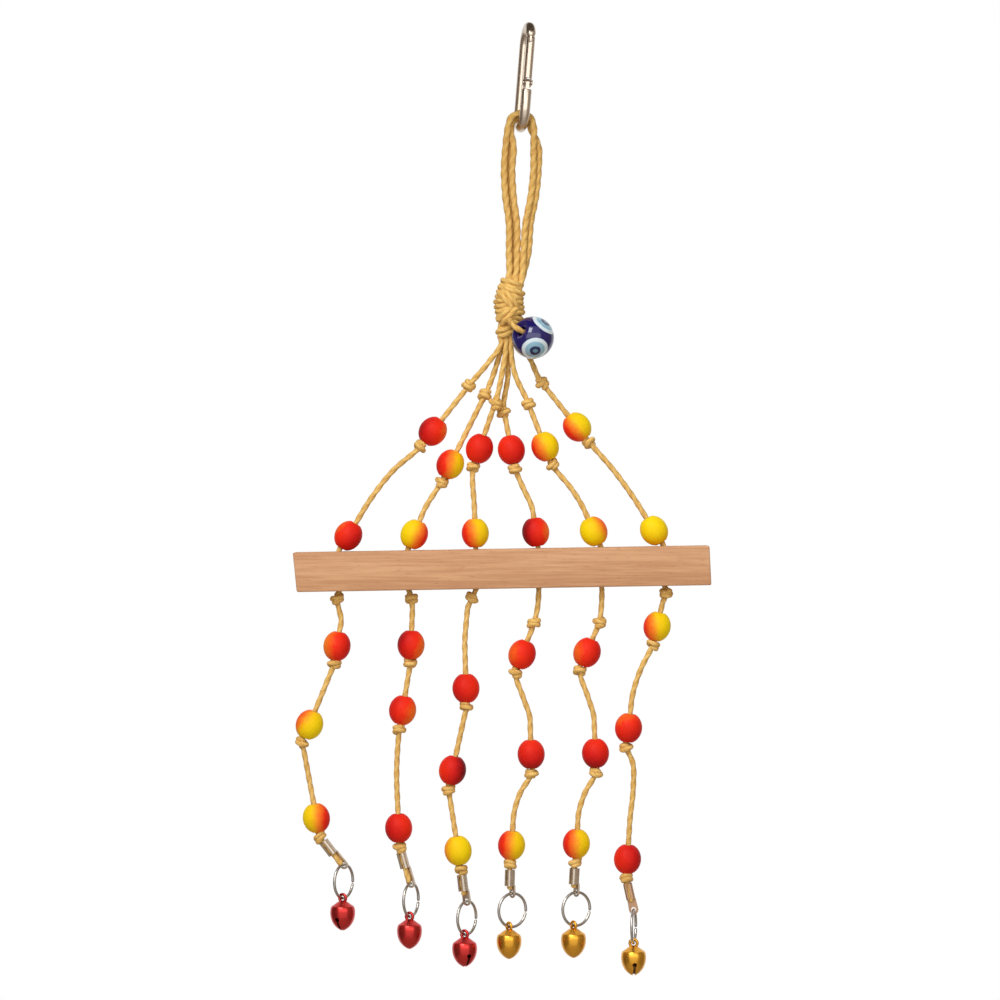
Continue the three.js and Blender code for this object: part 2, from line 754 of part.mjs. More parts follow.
// A crown, a shoulder high on the body, and a belly that tapers to the tip
function bellOutline(inset, crownSteps, bellySteps) {
  const radius = bellWidth / 2 - inset;
  const top = -(bellEyeBore / 2 + bellEyeWire - bellEyeSink) - inset;
  const height = bellHeight - 2 * inset;
  const handle = ([width, drop]) => new THREE.Vector2(width * radius, top - drop * height);
  const crown = new THREE.CubicBezierCurve(...bellCrown.map(handle)).getPoints(crownSteps);
  const belly = new THREE.CubicBezierCurve(...bellBelly.map(handle)).getPoints(bellySteps);
  return [...crown, ...belly.slice(1)].reverse();
}

function bellShape(slotTurn) {
  const outside = bellOutline(0, bellCrownSteps, bellBellySteps);
  const inside = bellOutline(bellWall, bellInnerCrownSteps, bellInnerBellySteps);
  const shell = new THREE.LatheGeometry(outside, bellSides).rotateX(Math.PI / 2);
  const hollow = new THREE.LatheGeometry(inside, bellSides).rotateX(Math.PI / 2);
  const tip = outside[0].y;
  const slot = new THREE.BoxGeometry(2 * bellWidth, bellSlotWidth, 2 * bellSlotRise).translate(0, 0, tip);
  const mouths = crossPin(bellMouth / 2, 2 * bellWidth, bellMouthSides).translate(0, 0, tip + bellSlotRise);
  const eyeRadius = (bellEyeBore + bellEyeWire) / 2;
  const loop = new THREE.TorusGeometry(eyeRadius, bellEyeWire / 2, bellEyeSides, bellEyeSteps);
  let solid = solidOf(shell).add(solidOf(loop.rotateY(Math.PI / 2))).subtract(solidOf(hollow));
  for (const cut of [slot, mouths]) {
    solid = solid.subtract(solidOf(cut.rotateZ(THREE.MathUtils.degToRad(slotTurn))));
  }
  return geometryOf(solid);
}

// A strand hangs in its own group, whose origin is the lower mouth of its hole in the bar
function makeStrand(number, route, hole) {
  const strand = new THREE.Group();
  strand.position.copy(hole.low);
  const pivot = upright(route.pivot);
  const stops = cordTipAngles.map((angle) => ({
    at: pivot.clone().add(new THREE.Vector3(0, 0, cordRadius * sine(angle))),
    radius: cordRadius * cosine(angle),
  }));
  stops.push({ at: pivot });
  let beadCount = 0;
  for (const span of route.spans) {
    stops.push(...span.bends.map((bend) => ({ at: upright(bend) })));
    const knot = upright(span.knot);
    const along = stops[stops.length - 1].at.clone().sub(knot).normalize();
    stops.push({ at: knot, knot: true });
    if (!span.bare) {
      beadCount += 1;
      const centre = knot.clone().addScaledVector(along, beadSeat);
      strand.add(bead(`strand_${number}_bead_${beadCount}`, centre, along, beadPaint[span.paint]));
    }
  }
  const lastKnot = stops[stops.length - 1].at;
  const eyeOnCord = upright(route.eye);
  const down = eyeOnCord.clone().sub(lastKnot);
  const eyeDrop = down.length() - knotReach - clearance - crimpLength;
  down.normalize();
  const crimpEnd = eyeOnCord.clone().addScaledVector(down, -eyeDrop);
  const crimpTop = crimpEnd.clone().addScaledVector(down, -crimpLength);
  stops.push(...[crimpTop, crimpEnd].map((at) => ({ at, radius: crimpCordDiameter / 2 })));
  const shape = knottedCord(stops).translate(-pivot.x, -pivot.y, -pivot.z);
  const cord = named(`strand_${number}_cord`, shape, twine);
  cord.position.copy(pivot);
  strand.add(cord);

  const ringAlong = new THREE.Vector3(cosine(route.ringTurn), sine(route.ringTurn), 0);
  const up = down.clone().negate();
  const through = ringAlong.clone().addScaledVector(up, -ringAlong.dot(up)).normalize();
  const crimp = named(`strand_${number}_crimp`, crimpShape(eyeDrop), plating);
  crimp.position.copy(crimpEnd);
  crimp.quaternion.setFromRotationMatrix(
    new THREE.Matrix4().makeBasis(through, up.clone().cross(through), up),
  );
  strand.add(crimp);

  const eyeOffset = crimpCordDiameter / 2 + clearance + crimpWall / 2;
  const eye = eyeOnCord.clone().addScaledVector(through, eyeOffset);
  const ring = named(`strand_${number}_ring`, ringShape(), plating);
  ring.position.copy(eye);
  ring.rotation.z = THREE.MathUtils.degToRad(route.ringTurn);
  strand.add(ring);

  const bellForm = bellShape(route.bellTurn - route.ringTurn);
  const bell = named(`strand_${number}_bell`, bellForm, bellPaint[route.bellPaint]);
  const across = ringRadius * sine(route.bellShift);
  bell.position.set(
    eye.x + across * cosine(route.ringTurn),
    eye.y + across * sine(route.ringTurn),
    eye.z - ringRadius - ringRadius * cosine(route.bellShift),
  );
  bell.rotation.z = ring.rotation.z;
  strand.add(bell);
  return strand;
}

function makeHanger() {
  const hanger = new THREE.Group();
  const holes = barHoles();
  const cordPieces = [...loopCords.map(loopCord), ...gatheringKnot(), eyeTail()];
  legRoutes.forEach((route, i) => {
    cordPieces.push(legCord(route, strandRoutes[i], holes[i]));
    const lower = vector(route.lowerKnot);
    const along = vector(route.upperKnot).sub(lower).normalize();
    const centre = lower.clone().addScaledVector(along, beadSeat);
    hanger.add(bead(`leg_bead_${i + 1}`, centre, along, beadPaint[route.beadPaint]));
    const passage = barPassage(route, holes[i]);
    hanger.add(bead(`bar_bead_${i + 1}`, passage.centre, passage.along, beadPaint[route.barBeadPaint]));
    hanger.add(makeStrand(i + 1, strandRoutes[i], holes[i]));
  });
  hanger.add(named("hanger_cord", joined(cordPieces), twine));
  hanger.add(makeBar());
  const eye = named(
    "eye_bead",
    boredBarrel(eyeBeadDiameter, eyeBeadLength, eyeBeadBore, eyeBeadEndWidth, eyeBeadSides, eyeBeadRows),
    cobaltGlass,
  );
  eye.position.set(...eyeBeadCentre);
  eye.quaternion.setFromUnitVectors(zAxis, vector(eyeBeadAxis).normalize());
  hanger.add(eye);
  hanger.position.set(-lowerBend * sine(clipLean), 0, -lowerBend * cosine(clipLean));
  return hanger;
}

const toy = new THREE.Group();
toy.add(makeClip());
toy.add(makeHanger());

export default toy;
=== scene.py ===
import json
import math

import bmesh
import bpy
from mathutils import Matrix, Vector, noise


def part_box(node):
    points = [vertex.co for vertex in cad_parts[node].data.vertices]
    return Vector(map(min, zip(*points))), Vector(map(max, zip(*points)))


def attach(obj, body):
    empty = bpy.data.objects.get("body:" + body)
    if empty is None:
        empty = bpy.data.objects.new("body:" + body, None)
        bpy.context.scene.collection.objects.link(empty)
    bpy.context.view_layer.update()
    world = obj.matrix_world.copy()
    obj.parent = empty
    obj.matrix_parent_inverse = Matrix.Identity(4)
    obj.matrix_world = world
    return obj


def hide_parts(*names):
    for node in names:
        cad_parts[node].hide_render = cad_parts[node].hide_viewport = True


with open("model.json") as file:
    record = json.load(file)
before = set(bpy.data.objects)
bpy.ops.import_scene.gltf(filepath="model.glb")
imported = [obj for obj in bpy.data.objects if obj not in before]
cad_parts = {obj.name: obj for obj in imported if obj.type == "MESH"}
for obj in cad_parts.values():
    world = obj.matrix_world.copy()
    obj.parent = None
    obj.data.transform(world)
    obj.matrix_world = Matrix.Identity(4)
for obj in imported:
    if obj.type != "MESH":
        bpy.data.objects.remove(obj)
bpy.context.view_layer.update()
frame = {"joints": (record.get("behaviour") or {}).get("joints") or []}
joints = {joint["child"]: joint for joint in frame["joints"]}
right, away, up = Vector((1, 0, 0)), Vector((0, 1, 0)), Vector((0, 0, 1))
mm = 0.001  # every shape below is worked out in millimetres


def pivotOf(body):  # the point a body turns about
    return Vector(joints[body]["pos_m"]) / mm


def axisOf(body):
    return Vector(joints[body]["axis"]).normalized()


def centreOf(node):
    low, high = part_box(node)
    return (low + high) / (2 * mm)


# colours and shader sums

def paint(red, green, blue):  # from screen values to what the shader wants
    linear = [c / 12.92 if c <= 0.04045 else ((c + 0.055) / 1.055) ** 2.4
              for c in (red / 255, green / 255, blue / 255)]
    return (*linear, 1)


class Wire:  # one shader value that can be added, scaled and so on
    def __init__(self, finish, socket):
        self.finish = finish
        self.socket = socket

    def calc(self, operation, first, second=0.0):
        return self.finish.node("ShaderNodeMath", {"operation": operation}, {0: first, 1: second})

    def __add__(self, other):
        return self.calc("ADD", self, other)

    __radd__ = __add__

    def __mul__(self, other):
        return self.calc("MULTIPLY", self, other)

    __rmul__ = __mul__

    def __sub__(self, other):
        return self.calc("SUBTRACT", self, other)

    def __rsub__(self, other):
        return self.calc("SUBTRACT", other, self)

    def cosine(self):
        return self.calc("COSINE", self)

    def atLeast(self, other):
        return self.calc("MAXIMUM", self, other)

    def between(self, low, high):  # 0 at low, 1 at high, eased
        return self.finish.node("ShaderNodeMapRange", {"interpolation_type": "SMOOTHSTEP"},
                                {"Value": self, "From Min": low, "From Max": high})


class Finish:
    def __init__(self, name, fixed=None, tree=None):
        if tree is None:
            self.material = bpy.data.materials.new(name)
            self.material.use_nodes = True
            tree = self.material.node_tree
        self.tree = tree
        self.shader = tree.nodes.get("Principled BSDF")
        for socket, value in (fixed or {}).items():
            self.shader.inputs[socket].default_value = value

    def node(self, kind, settings=None, inputs=None, output=0):
        made = self.tree.nodes.new(kind)
        for name, value in (settings or {}).items():
            if name == "stops":
                self.setStops(made.color_ramp.elements, value)
            else:
                setattr(made, name, value)
        for name, value in (inputs or {}).items():
            self.feed(made.inputs[name], value)
        return Wire(self, made.outputs[output])

    def setStops(self, elements, stops):  # the places and colours of a ramp
        while len(elements) < len(stops):
            elements.new(0.5)
        for element, (place, shade) in zip(elements, stops):
            element.position = place
            element.color = shade

    def feed(self, socket, value):
        if isinstance(value, Wire):
            self.tree.links.new(value.socket, socket)
        else:
            socket.default_value = value

    def set(self, name, value):
        self.feed(self.shader.inputs[name], value)

    def mix(self, factor, first, second):  # 6, 7 and 2 are the node's colour sockets
        return self.node("ShaderNodeMix", {"data_type": "RGBA"}, {0: factor, 6: first, 7: second}, 2)

    def place(self, scale=(1, 1, 1)):  # where a point is on the piece, in metres, stretched
        spot = self.node("ShaderNodeTexCoord", None, None, "Object")
        return self.node("ShaderNodeVectorMath", {"operation": "MULTIPLY"}, {0: spot, 1: scale})

    def laid(self, scale=(1, 1, 1)):  # the coordinates laid on the mesh when it was built
        spot = self.node("ShaderNodeUVMap", {"uv_map": "laid"})
        return self.node("ShaderNodeVectorMath", {"operation": "MULTIPLY"}, {0: spot, 1: scale})

    def noise(self, where, scale, detail=2.0, rough=0.5):
        return self.node("ShaderNodeTexNoise", None,
                         {"Vector": where, "Scale": scale, "Detail": detail, "Roughness": rough})

    def bump(self, height, strength, distance):
        self.set("Normal", self.node("ShaderNodeBump", None,
                                     {"Height": height, "Strength": strength, "Distance": distance}))


# shapes: each is a list of points, a list of faces and, where needed, coordinates per corner

class Shape:
    def __init__(self, points=None, faces=None, corners=None):
        self.points = points or []
        self.faces = faces or []
        self.corners = corners

    def moved(self, matrix):
        return Shape([matrix @ point for point in self.points], self.faces, self.corners)


def joined(shapes):
    whole = Shape()
    whole.corners = [] if all(shape.corners for shape in shapes) else None
    for shape in shapes:
        start = len(whole.points)
        whole.points.extend(shape.points)
        whole.faces.extend(tuple(start + i for i in face) for face in shape.faces)
        if whole.corners is not None:
            whole.corners.extend(shape.corners)
    return whole


def meshOf(name, shape, unit=1.0):
    mesh = bpy.data.meshes.new(name)
    mesh.from_pydata([point * unit for point in shape.points], [], shape.faces)
    if shape.corners:
        laid = mesh.uv_layers.new(name="laid")
        flat = [value for face in shape.corners for corner in face for value in corner]
        laid.data.foreach_set("uv", flat)
    return mesh


def addPiece(name, shape, finish, body, replaced=(), crease=40):
    mesh = meshOf(name, shape, mm)
    tidy = bmesh.new()
    tidy.from_mesh(mesh)
    bmesh.ops.recalc_face_normals(tidy, faces=tidy.faces)
    tidy.to_mesh(mesh)
    tidy.free()
    mesh.shade_smooth()
    mesh.set_sharp_from_angle(angle=math.radians(crease))
    mesh.materials.append(finish.material)
    piece = bpy.data.objects.new(name, mesh)
    bpy.context.scene.collection.objects.link(piece)
    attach(piece, body)
    if replaced:
        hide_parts(*replaced)
    return piece


def carved(shape, cutters):  # the shape less every cutter
    loose = []
    for number, form in enumerate([shape, *cutters]):
        item = bpy.data.objects.new(f"carve{number}", meshOf(f"carve{number}", form))
        bpy.context.scene.collection.objects.link(item)
        loose.append(item)
    for tool in loose[1:]:
        cut = loose[0].modifiers.new("cut", "BOOLEAN")
        cut.operation = "DIFFERENCE"
        cut.solver = "EXACT"
        cut.object = tool
    evaluated = loose[0].evaluated_get(bpy.context.evaluated_depsgraph_get())
    mesh = evaluated.to_mesh()
    result = Shape([v.co.copy() for v in mesh.vertices], [tuple(p.vertices) for p in mesh.polygons])
    evaluated.to_mesh_clear()
    for item in loose:
        spare = item.data
        bpy.data.objects.remove(item)
        bpy.data.meshes.remove(spare)
    return result


def turned(outline, sides, closed=True):  # (radius, height) pairs spun about the upright axis
    shape = Shape()
    rings = []
    for radius, height in outline:
        if radius < 1e-6:
            shape.points.append(Vector((0, 0, height)))
            rings.append([len(shape.points) - 1] * sides)
            continue
        start = len(shape.points)
        for k in range(sides):
            angle = 2 * math.pi * k / sides
            shape.points.append(Vector((radius * math.cos(angle), radius * math.sin(angle), height)))
        rings.append([start + k for k in range(sides)])
    pairs = list(zip(rings, rings[1:] + rings[:1])) if closed else list(zip(rings, rings[1:]))
    for lower, upper in pairs:
        for k in range(sides):
            face = [lower[k], lower[(k + 1) % sides], upper[(k + 1) % sides], upper[k]]
            face = list(dict.fromkeys(face))
            if len(face) > 2:
                shape.faces.append(tuple(face))
    return shape


def arc(radius, start, sweep, steps, middle=(0, 0)):  # points round part of a circle
    angles = [start + sweep * n / steps for n in range(steps + 1)]
    return [(middle[0] + radius * math.cos(a), middle[1] + radius * math.sin(a)) for a in angles]


def box(left, right, low, high):  # the corners of a flat rectangle
    return [(left, low), (right, low), (right, high), (left, high)]


def slab(outline, thickness, ease=0.0):  # a flat outline in x and z, thick in y, edges eased
    model = bmesh.new()
    front = [model.verts.new((x, -thickness / 2, z)) for x, z in outline]
    face = model.faces.new(front)
    grown = bmesh.ops.extrude_face_region(model, geom=[face])
    moved = [item for item in grown["geom"] if isinstance(item, bmesh.types.BMVert)]
    bmesh.ops.translate(model, verts=moved, vec=(0, thickness, 0))
    bmesh.ops.recalc_face_normals(model, faces=model.faces)
    if ease:
        sharp = math.radians(20)
        edges = [edge for edge in model.edges if edge.calc_face_angle(0) > sharp]
        bmesh.ops.bevel(model, geom=edges, offset=ease, segments=3, profile=0.5, affect="EDGES")
    model.verts.index_update()
    shape = Shape([v.co.copy() for v in model.verts],
                  [tuple(v.index for v in face.verts) for face in model.faces])
    model.free()
    return shape


def rod(radius, low, high, sides=32):  # a plain upright peg, for drilling
    return turned([(0, low), (radius, low), (radius, high), (0, high)], sides, closed=False)


def basis(x, y, z, at):
    return Matrix.Translation(at) @ Matrix((x, y, z)).transposed().to_4x4()


def facing(direction):  # two directions square to this one
    side = direction.cross(away)
    if side.length < 0.2:  # it runs straight back, so the right is the measure
        side = direction.cross(right)
    side.normalize()
    return side, direction.cross(side)


def lengthOf(points):
    return sum((b - a).length for a, b in zip(points, points[1:]))


def evenly(points, step):  # the same line cut into equal steps
    total = lengthOf(points)
    count = max(2, round(total / step))
    result = [points[0]]
    walked, index = 0.0, 0
    for n in range(1, count):
        goal = total * n / count
        while walked + (points[index + 1] - points[index]).length < goal:
            walked += (points[index + 1] - points[index]).length
            index += 1
        part = points[index + 1] - points[index]
        result.append(points[index] + part * ((goal - walked) / part.length))
    return result + [points[-1]]


def smooth(stops, step=0.6, cuts=14):  # a soft line through the stops
    gaps = [(b - a).length for a, b in zip(stops, stops[1:])]
    slopes = [(stops[1] - stops[0]) / gaps[0]]
    for i in range(1, len(stops) - 1):
        before = (stops[i] - stops[i - 1]) / gaps[i - 1]
        after = (stops[i + 1] - stops[i]) / gaps[i]
        slopes.append((before * gaps[i] + after * gaps[i - 1]) / (gaps[i] + gaps[i - 1]))
    slopes.append((stops[-1] - stops[-2]) / gaps[-1])
    points = []
    for i, gap in enumerate(gaps):
        for n in range(cuts):
            t = n / cuts
            points.append(stops[i] * (2 * t ** 3 - 3 * t ** 2 + 1)
                          + slopes[i] * (gap * (t ** 3 - 2 * t ** 2 + t))
                          + stops[i + 1] * (3 * t ** 2 - 2 * t ** 3)
                          + slopes[i + 1] * (gap * (t ** 3 - t ** 2)))
    return evenly(points + [stops[-1]], step)


def framed(points):  # each point with its direction and two sides that don't spin along the line
    ends = [points[0] * 2 - points[1], *points, points[-1] * 2 - points[-2]]
    side = None
    rows = []
    for i, point in enumerate(points):
        along = (ends[i + 2] - ends[i]).normalized()
        side = facing(along)[0] if side is None else (side - along * side.dot(along)).normalized()
        rows.append((point, along, side, along.cross(side)))
    return rows


softEnd = ((0.6, 0.8), (0.9, 0.45))  # how far past the line's end and how wide, in wire radii
bluntEnd = ((0.08, 0.97), (0.16, 0.86))


def wire(points, radius, sides=16, closed=False, tail=softEnd):  # bent wire with softened ends
    rows = [(row, 1.0) for row in framed(points)]
    if not closed:
        first, last = rows[0][0], rows[-1][0]
        for lift, width in softEnd:
            rows.insert(0, ((first[0] - first[1] * radius * lift, *first[1:]), width))
        for lift, width in tail:
            rows.append(((last[0] + last[1] * radius * lift, *last[1:]), width))
    shape = Shape()
    for (point, along, side, other), width in rows:
        for k in range(sides):
            angle = 2 * math.pi * k / sides
            shape.points.append(point + (side * math.cos(angle) + other * math.sin(angle)) * radius * width)
    count = len(rows)
    for i in range(count if closed else count - 1):
        a, b = i * sides, ((i + 1) % count) * sides
        for k in range(sides):
            n = (k + 1) % sides
            shape.faces.append((a + k, a + n, b + n, b + k))
    if not closed:
        shape.faces.append(tuple(range(sides)))
        shape.faces.append(tuple(range((count - 1) * sides, count * sides)))
    return shape


# twine: two plies twisted together, laid along any line

twineLook = {"radius": 1.1, "plies": 2, "groove": 0.16, "turn": 8.5, "sides": 12, "step": 0.6,
             "uneven": 0.05, "unevenScale": 0.4, "pinch": 0.93, "tip": ((0.35, 0.8), (0.55, 0.4)),
             "laidLength": 10, "pathSteps": 30}


def twine(points, thin=1.0, squeeze=None):  # squeeze: from where to where a cord end pinches it
    look = twineLook
    points = evenly(points, look["step"])
    step = lengthOf(points) / (len(points) - 1)
    rows = [(row, n * step, 1.0) for n, row in enumerate(framed(points))]
    first, last = rows[0], rows[-1]
    for lift, width in look["tip"]:
        rows.insert(0, ((first[0][0] - first[0][1] * lift, *first[0][1:]), -lift, width))
        rows.append(((last[0][0] + last[0][1] * lift, *last[0][1:]), last[1] + lift, width))
    shape = Shape(corners=[])
    sides = look["sides"]
    for (point, along, side, other), walked, width in rows:
        swell = thin * width * (1 + look["uneven"] * noise.noise(point * look["unevenScale"]))
        if squeeze and squeeze[0] < walked < squeeze[1]:
            swell *= look["pinch"]
        for k in range(sides):
            angle = 2 * math.pi * k / sides
            dip = 0.5 + 0.5 * math.cos(look["plies"] * angle)  # 1 where two plies meet
            reach = look["radius"] * swell * (1 - look["groove"] * dip)
            angle += 2 * math.pi * walked / look["turn"]
            shape.points.append(point + (side * math.cos(angle) + other * math.sin(angle)) * reach)
    for i in range(len(rows) - 1):
        a, b = i * sides, (i + 1) * sides
        low, high = rows[i][1] / look["laidLength"], rows[i + 1][1] / look["laidLength"]
        for k in range(sides):
            n = (k + 1) % sides
            shape.faces.append((a + k, a + n, b + n, b + k))
            shape.corners.append(((k / sides, low), ((k + 1) / sides, low),
                                  ((k + 1) / sides, high), (k / sides, high)))
    for ring, height in ((0, rows[0][1]), (len(rows) - 1, rows[-1][1])):
        shape.faces.append(tuple(ring * sides + k for k in range(sides)))
        shape.corners.append([(k / sides, height / look["laidLength"]) for k in range(sides)])
    return shape


knotLook = {
    "turns": 1.8, "tuck": 0.12, "steps": 48, "sway": 1.7, "legSpin": (1.9, 2.3), "strandSpin": (2.1, 1.3),
    "free": {"reach": 1.6, "height": 2.8, "lean": 0.5, "thick": 1.06, "drop": 0.7},
    "stop": {"reach": 1.65, "height": 2.4, "lean": 0.4, "thick": 1.0, "drop": 0.2},  # a bead slides up to it
    "top": {"reach": 1.65, "height": 2.5, "lean": 0.4, "thick": 1.02, "drop": -0.35},
    "end": {"reach": 1.55, "height": 2.6, "lean": 0.5, "thick": 1.02, "drop": 0},  # the crimp is right below
    "small": {"reach": 0.93, "height": 1.3, "lean": 0.2, "thick": 0.58, "drop": 0}}


def knot(centre, along, spin, kind):  # a small overhand lump: the cord wound on itself and tucked in
    look, steps, tuck = knotLook[kind], knotLook["steps"], knotLook["tuck"]
    centre = centre - along * look["drop"]
    side, other = facing(along)
    points = []
    for n in range(steps + 1):
        t = n / steps
        angle = spin + 2 * math.pi * knotLook["turns"] * t
        reach = look["reach"] * min(1, t / tuck, (1 - t) / tuck)
        lift = (t - 0.5) * look["height"] + look["lean"] * math.cos(angle - spin * knotLook["sway"])
        points.append(centre + along * lift + (side * math.cos(angle) + other * math.sin(angle)) * reach)
    return twine(points, look["thick"])


def tied(stops, places, kinds, spin, number):  # a knot at each place, turned a little from its neighbours
    perKnot, perCord = knotLook[spin]
    lumps = []
    for n, (place, kind) in enumerate(zip(places, kinds)):
        i = stops.index(place)
        along = (stops[i - 1] - stops[i + 1]).normalized()
        lumps.append(knot(place, along, perKnot * n + perCord * number, kind))
    return joined(lumps)


def declare(points):
    line = evenly(points, lengthOf(points) / twineLook["pathSteps"])
    line[0] * mm
    lengthOf(points) * mm
    [point * mm for point in line]


# finishes

print("finishes")
# the twine's dye colours, together with a painted shade that darkens the grooves between the plies
twineDyeAndGrooveShade = {"dark": paint(203, 152, 77), "light": paint(246, 206, 123), "range": (0.1, 0.9),
            "fibres": (9, 6, 1), "fibreShare": 0.8, "patches": 90, "patchShare": 0.4, "grooveShadeShare": 0.2,
            "darker": 0.2, "fuzz": 0.5, "fuzzHeight": 0.0004}
twineFinish = Finish("twine", {"Roughness": 0.85, "Specular IOR Level": 0.2})
fibres = twineFinish.noise(twineFinish.laid(twineDyeAndGrooveShade["fibres"]), 1.0, detail=3, rough=0.6)
patches = twineFinish.noise(twineFinish.place(), twineDyeAndGrooveShade["patches"])
roundCord = twineFinish.node("ShaderNodeSeparateXYZ", None, {0: twineFinish.laid((2 * math.pi, 1, 1))})
paintedGrooveShade = (roundCord * twineLook["plies"]).cosine() * -0.5 + 0.5  # painted shade: 0 in the groove, where it darkens the twine, 1 on a ply's back
shade = fibres * twineDyeAndGrooveShade["fibreShare"] + patches * twineDyeAndGrooveShade["patchShare"] + paintedGrooveShade * twineDyeAndGrooveShade["grooveShadeShare"]
shade = (shade - twineDyeAndGrooveShade["darker"]).between(*twineDyeAndGrooveShade["range"])
twineFinish.set("Base Color", twineFinish.mix(shade, twineDyeAndGrooveShade["dark"], twineDyeAndGrooveShade["light"]))
twineFinish.bump(fibres, twineDyeAndGrooveShade["fuzz"], twineDyeAndGrooveShade["fuzzHeight"])

beechGrain = {"dark": paint(191, 138, 98), "light": paint(212, 162, 120), "fleck": paint(158, 104, 70),
              "broad": (8, 160, 160), "broadShare": 0.45, "fine": (50, 1100, 1100), "fineShare": 0.55,
              "range": (0.36, 0.64), "flecks": (260, 1600, 1600), "fleckRange": (0.62, 0.74),
              "fleckShare": 0.38, "pores": 0.25, "poreDepth": 0.0002}
beechFinish = Finish("beech", {"Roughness": 0.62, "Specular IOR Level": 0.3})
broad = beechFinish.noise(beechFinish.place(beechGrain["broad"]), 1.0, detail=3, rough=0.55)
fine = beechFinish.noise(beechFinish.place(beechGrain["fine"]), 1.0, detail=3, rough=0.6)
fleck = beechFinish.noise(beechFinish.place(beechGrain["flecks"]), 1.0, detail=1)
fleck = fleck.between(*beechGrain["fleckRange"]) * beechGrain["fleckShare"]
grain = (broad * beechGrain["broadShare"] + fine * beechGrain["fineShare"]).between(*beechGrain["range"])
wood = beechFinish.mix(grain, beechGrain["dark"], beechGrain["light"])
beechFinish.set("Base Color", beechFinish.mix(fleck, wood, beechGrain["fleck"]))
beechFinish.bump(fine, beechGrain["pores"], beechGrain["poreDepth"])

metalLook = {
    "nickel": {"colour": paint(204, 188, 170), "grain": 300, "detail": 2, "rough": 0.22, "spread": 0.14},
    "ring wire": {"colour": paint(176, 170, 162), "grain": 400, "detail": 2, "rough": 0.16, "spread": 0.14},
    "dull plate": {"colour": paint(206, 191, 172), "grain": 500, "detail": 3, "rough": 0.3, "spread": 0.24},
    "coppery plate": {"colour": paint(184, 146, 116), "grain": 500, "detail": 3, "rough": 0.3,
                      "spread": 0.24},
    "bell red": {"colour": paint(198, 57, 54), "grain": 260, "detail": 2, "rough": 0.21, "spread": 0.16,
                 "dents": 0.2, "dentDepth": 0.0006},
    "bell gold": {"colour": paint(222, 160, 56), "grain": 260, "detail": 2, "rough": 0.21, "spread": 0.16,
                  "dents": 0.2, "dentDepth": 0.0006}}
metals = {}
for name, look in metalLook.items():
    metals[name] = Finish(name, {"Metallic": 1.0, "Base Color": look["colour"]})
    worn = metals[name].noise(metals[name].place(), look["grain"], look["detail"])
    metals[name].set("Roughness", worn * look["spread"] + look["rough"])
    if "dents" in look:
        metals[name].bump(worn, look["dents"], look["dentDepth"])

ironFinish = Finish("pellet iron", {"Metallic": 1.0, "Base Color": paint(92, 70, 54), "Roughness": 0.55})

beadPaint = {"speckle": 700, "speckleShift": 0.1, "cloud": 150, "cloudShift": 0.16,
             "stops": ((0.0, paint(120, 6, 16)), (0.2, paint(206, 24, 18)), (0.42, paint(238, 44, 16)),
                       (0.58, paint(246, 126, 34)), (0.74, paint(243, 195, 12)), (1.0, paint(245, 215, 3)))}
beadFinish = Finish("bead paint", {"Roughness": 0.55, "Specular IOR Level": 0.14})
speckle = beadFinish.noise(beadFinish.place(), beadPaint["speckle"], detail=3, rough=0.6) - 0.5
cloud = beadFinish.noise(beadFinish.place(), beadPaint["cloud"]) - 0.5
sprayed = beadFinish.node("ShaderNodeSeparateXYZ", None, {0: beadFinish.laid()})
sprayed = sprayed + speckle * beadPaint["speckleShift"] + cloud * beadPaint["cloudShift"]
coat = beadFinish.node("ShaderNodeValToRGB", {"stops": beadPaint["stops"]}, {"Fac": sprayed})
beadFinish.set("Base Color", coat)


# snap hook

print("snap hook")
clipLook = {"wire": 1.9, "bend": 6.6, "lowBend": -35.3, "noseRise": 35, "lean": 4.6, "yaw": 9, "gap": 0.3,
            "arcSteps": 36, "backSteps": 12, "tongue": (1.2, 2.6), "tongueRoot": 1, "floorGap": 0.5,
            "blade": (1.0, 2.0, 1.8), "bladeEase": 0.15, "gateRadius": 1.6, "gateEar": 1.5,
            "gateCrown": ((1.6, 0.4), (1.5, 0.1), (1.25, 0), (0, 0)),  # radius, and how far below the top
            "gateFoot": ((0, -2.05), (0.8, -1.97), (1.2, -1.8), (1.45, -1.6), (1.57, -1.45), (1.6, -1.25)),
            "rivetDrop": 19.2, "rivetRadius": 0.7, "rivetPlay": 0.1, "rivetHead": (1.0, 0.3),
            "rivetDome": ((1, 0), (1, 0.4), (0.7, 0.85), (0, 1)),  # in shares of the head
            "drill": (-5, 5), "cutDepth": 8, "cutOver": 2, "cutUnder": -4}
hookTurn = (Matrix.Rotation(math.radians(clipLook["lean"]), 4, "Y")
            @ Matrix.Rotation(math.radians(clipLook["yaw"]), 4, "Z"))
sideways = Matrix(((0, 1, 0, 0), (1, 0, 0, 0), (0, 0, 1, 0), (0, 0, 0, 1)))  # swaps x and y


def hookWire():
    look = clipLook
    bend, steps, backSteps = look["bend"], look["arcSteps"], look["backSteps"]
    topCentre = look["wire"] - bend
    lowCentre = bend + look["lowBend"]
    nose = math.radians(180 - look["noseRise"])
    line = arc(bend, nose, -nose, steps, (0, topCentre))
    line += [(bend, topCentre + (lowCentre - topCentre) * n / backSteps) for n in range(1, backSteps)]
    line += arc(bend, 0, -math.pi, steps, (0, lowCentre))
    shoulder = -look["rivetDrop"] - math.hypot(look["gateRadius"], look["gateEar"]) - look["gap"]
    line.append((-bend, shoulder - bluntEnd[-1][0] * look["wire"]))
    points = [Vector((0, y, z)) for y, z in line]
    return wire(points, look["wire"], sides=24, tail=bluntEnd), shoulder, topCentre


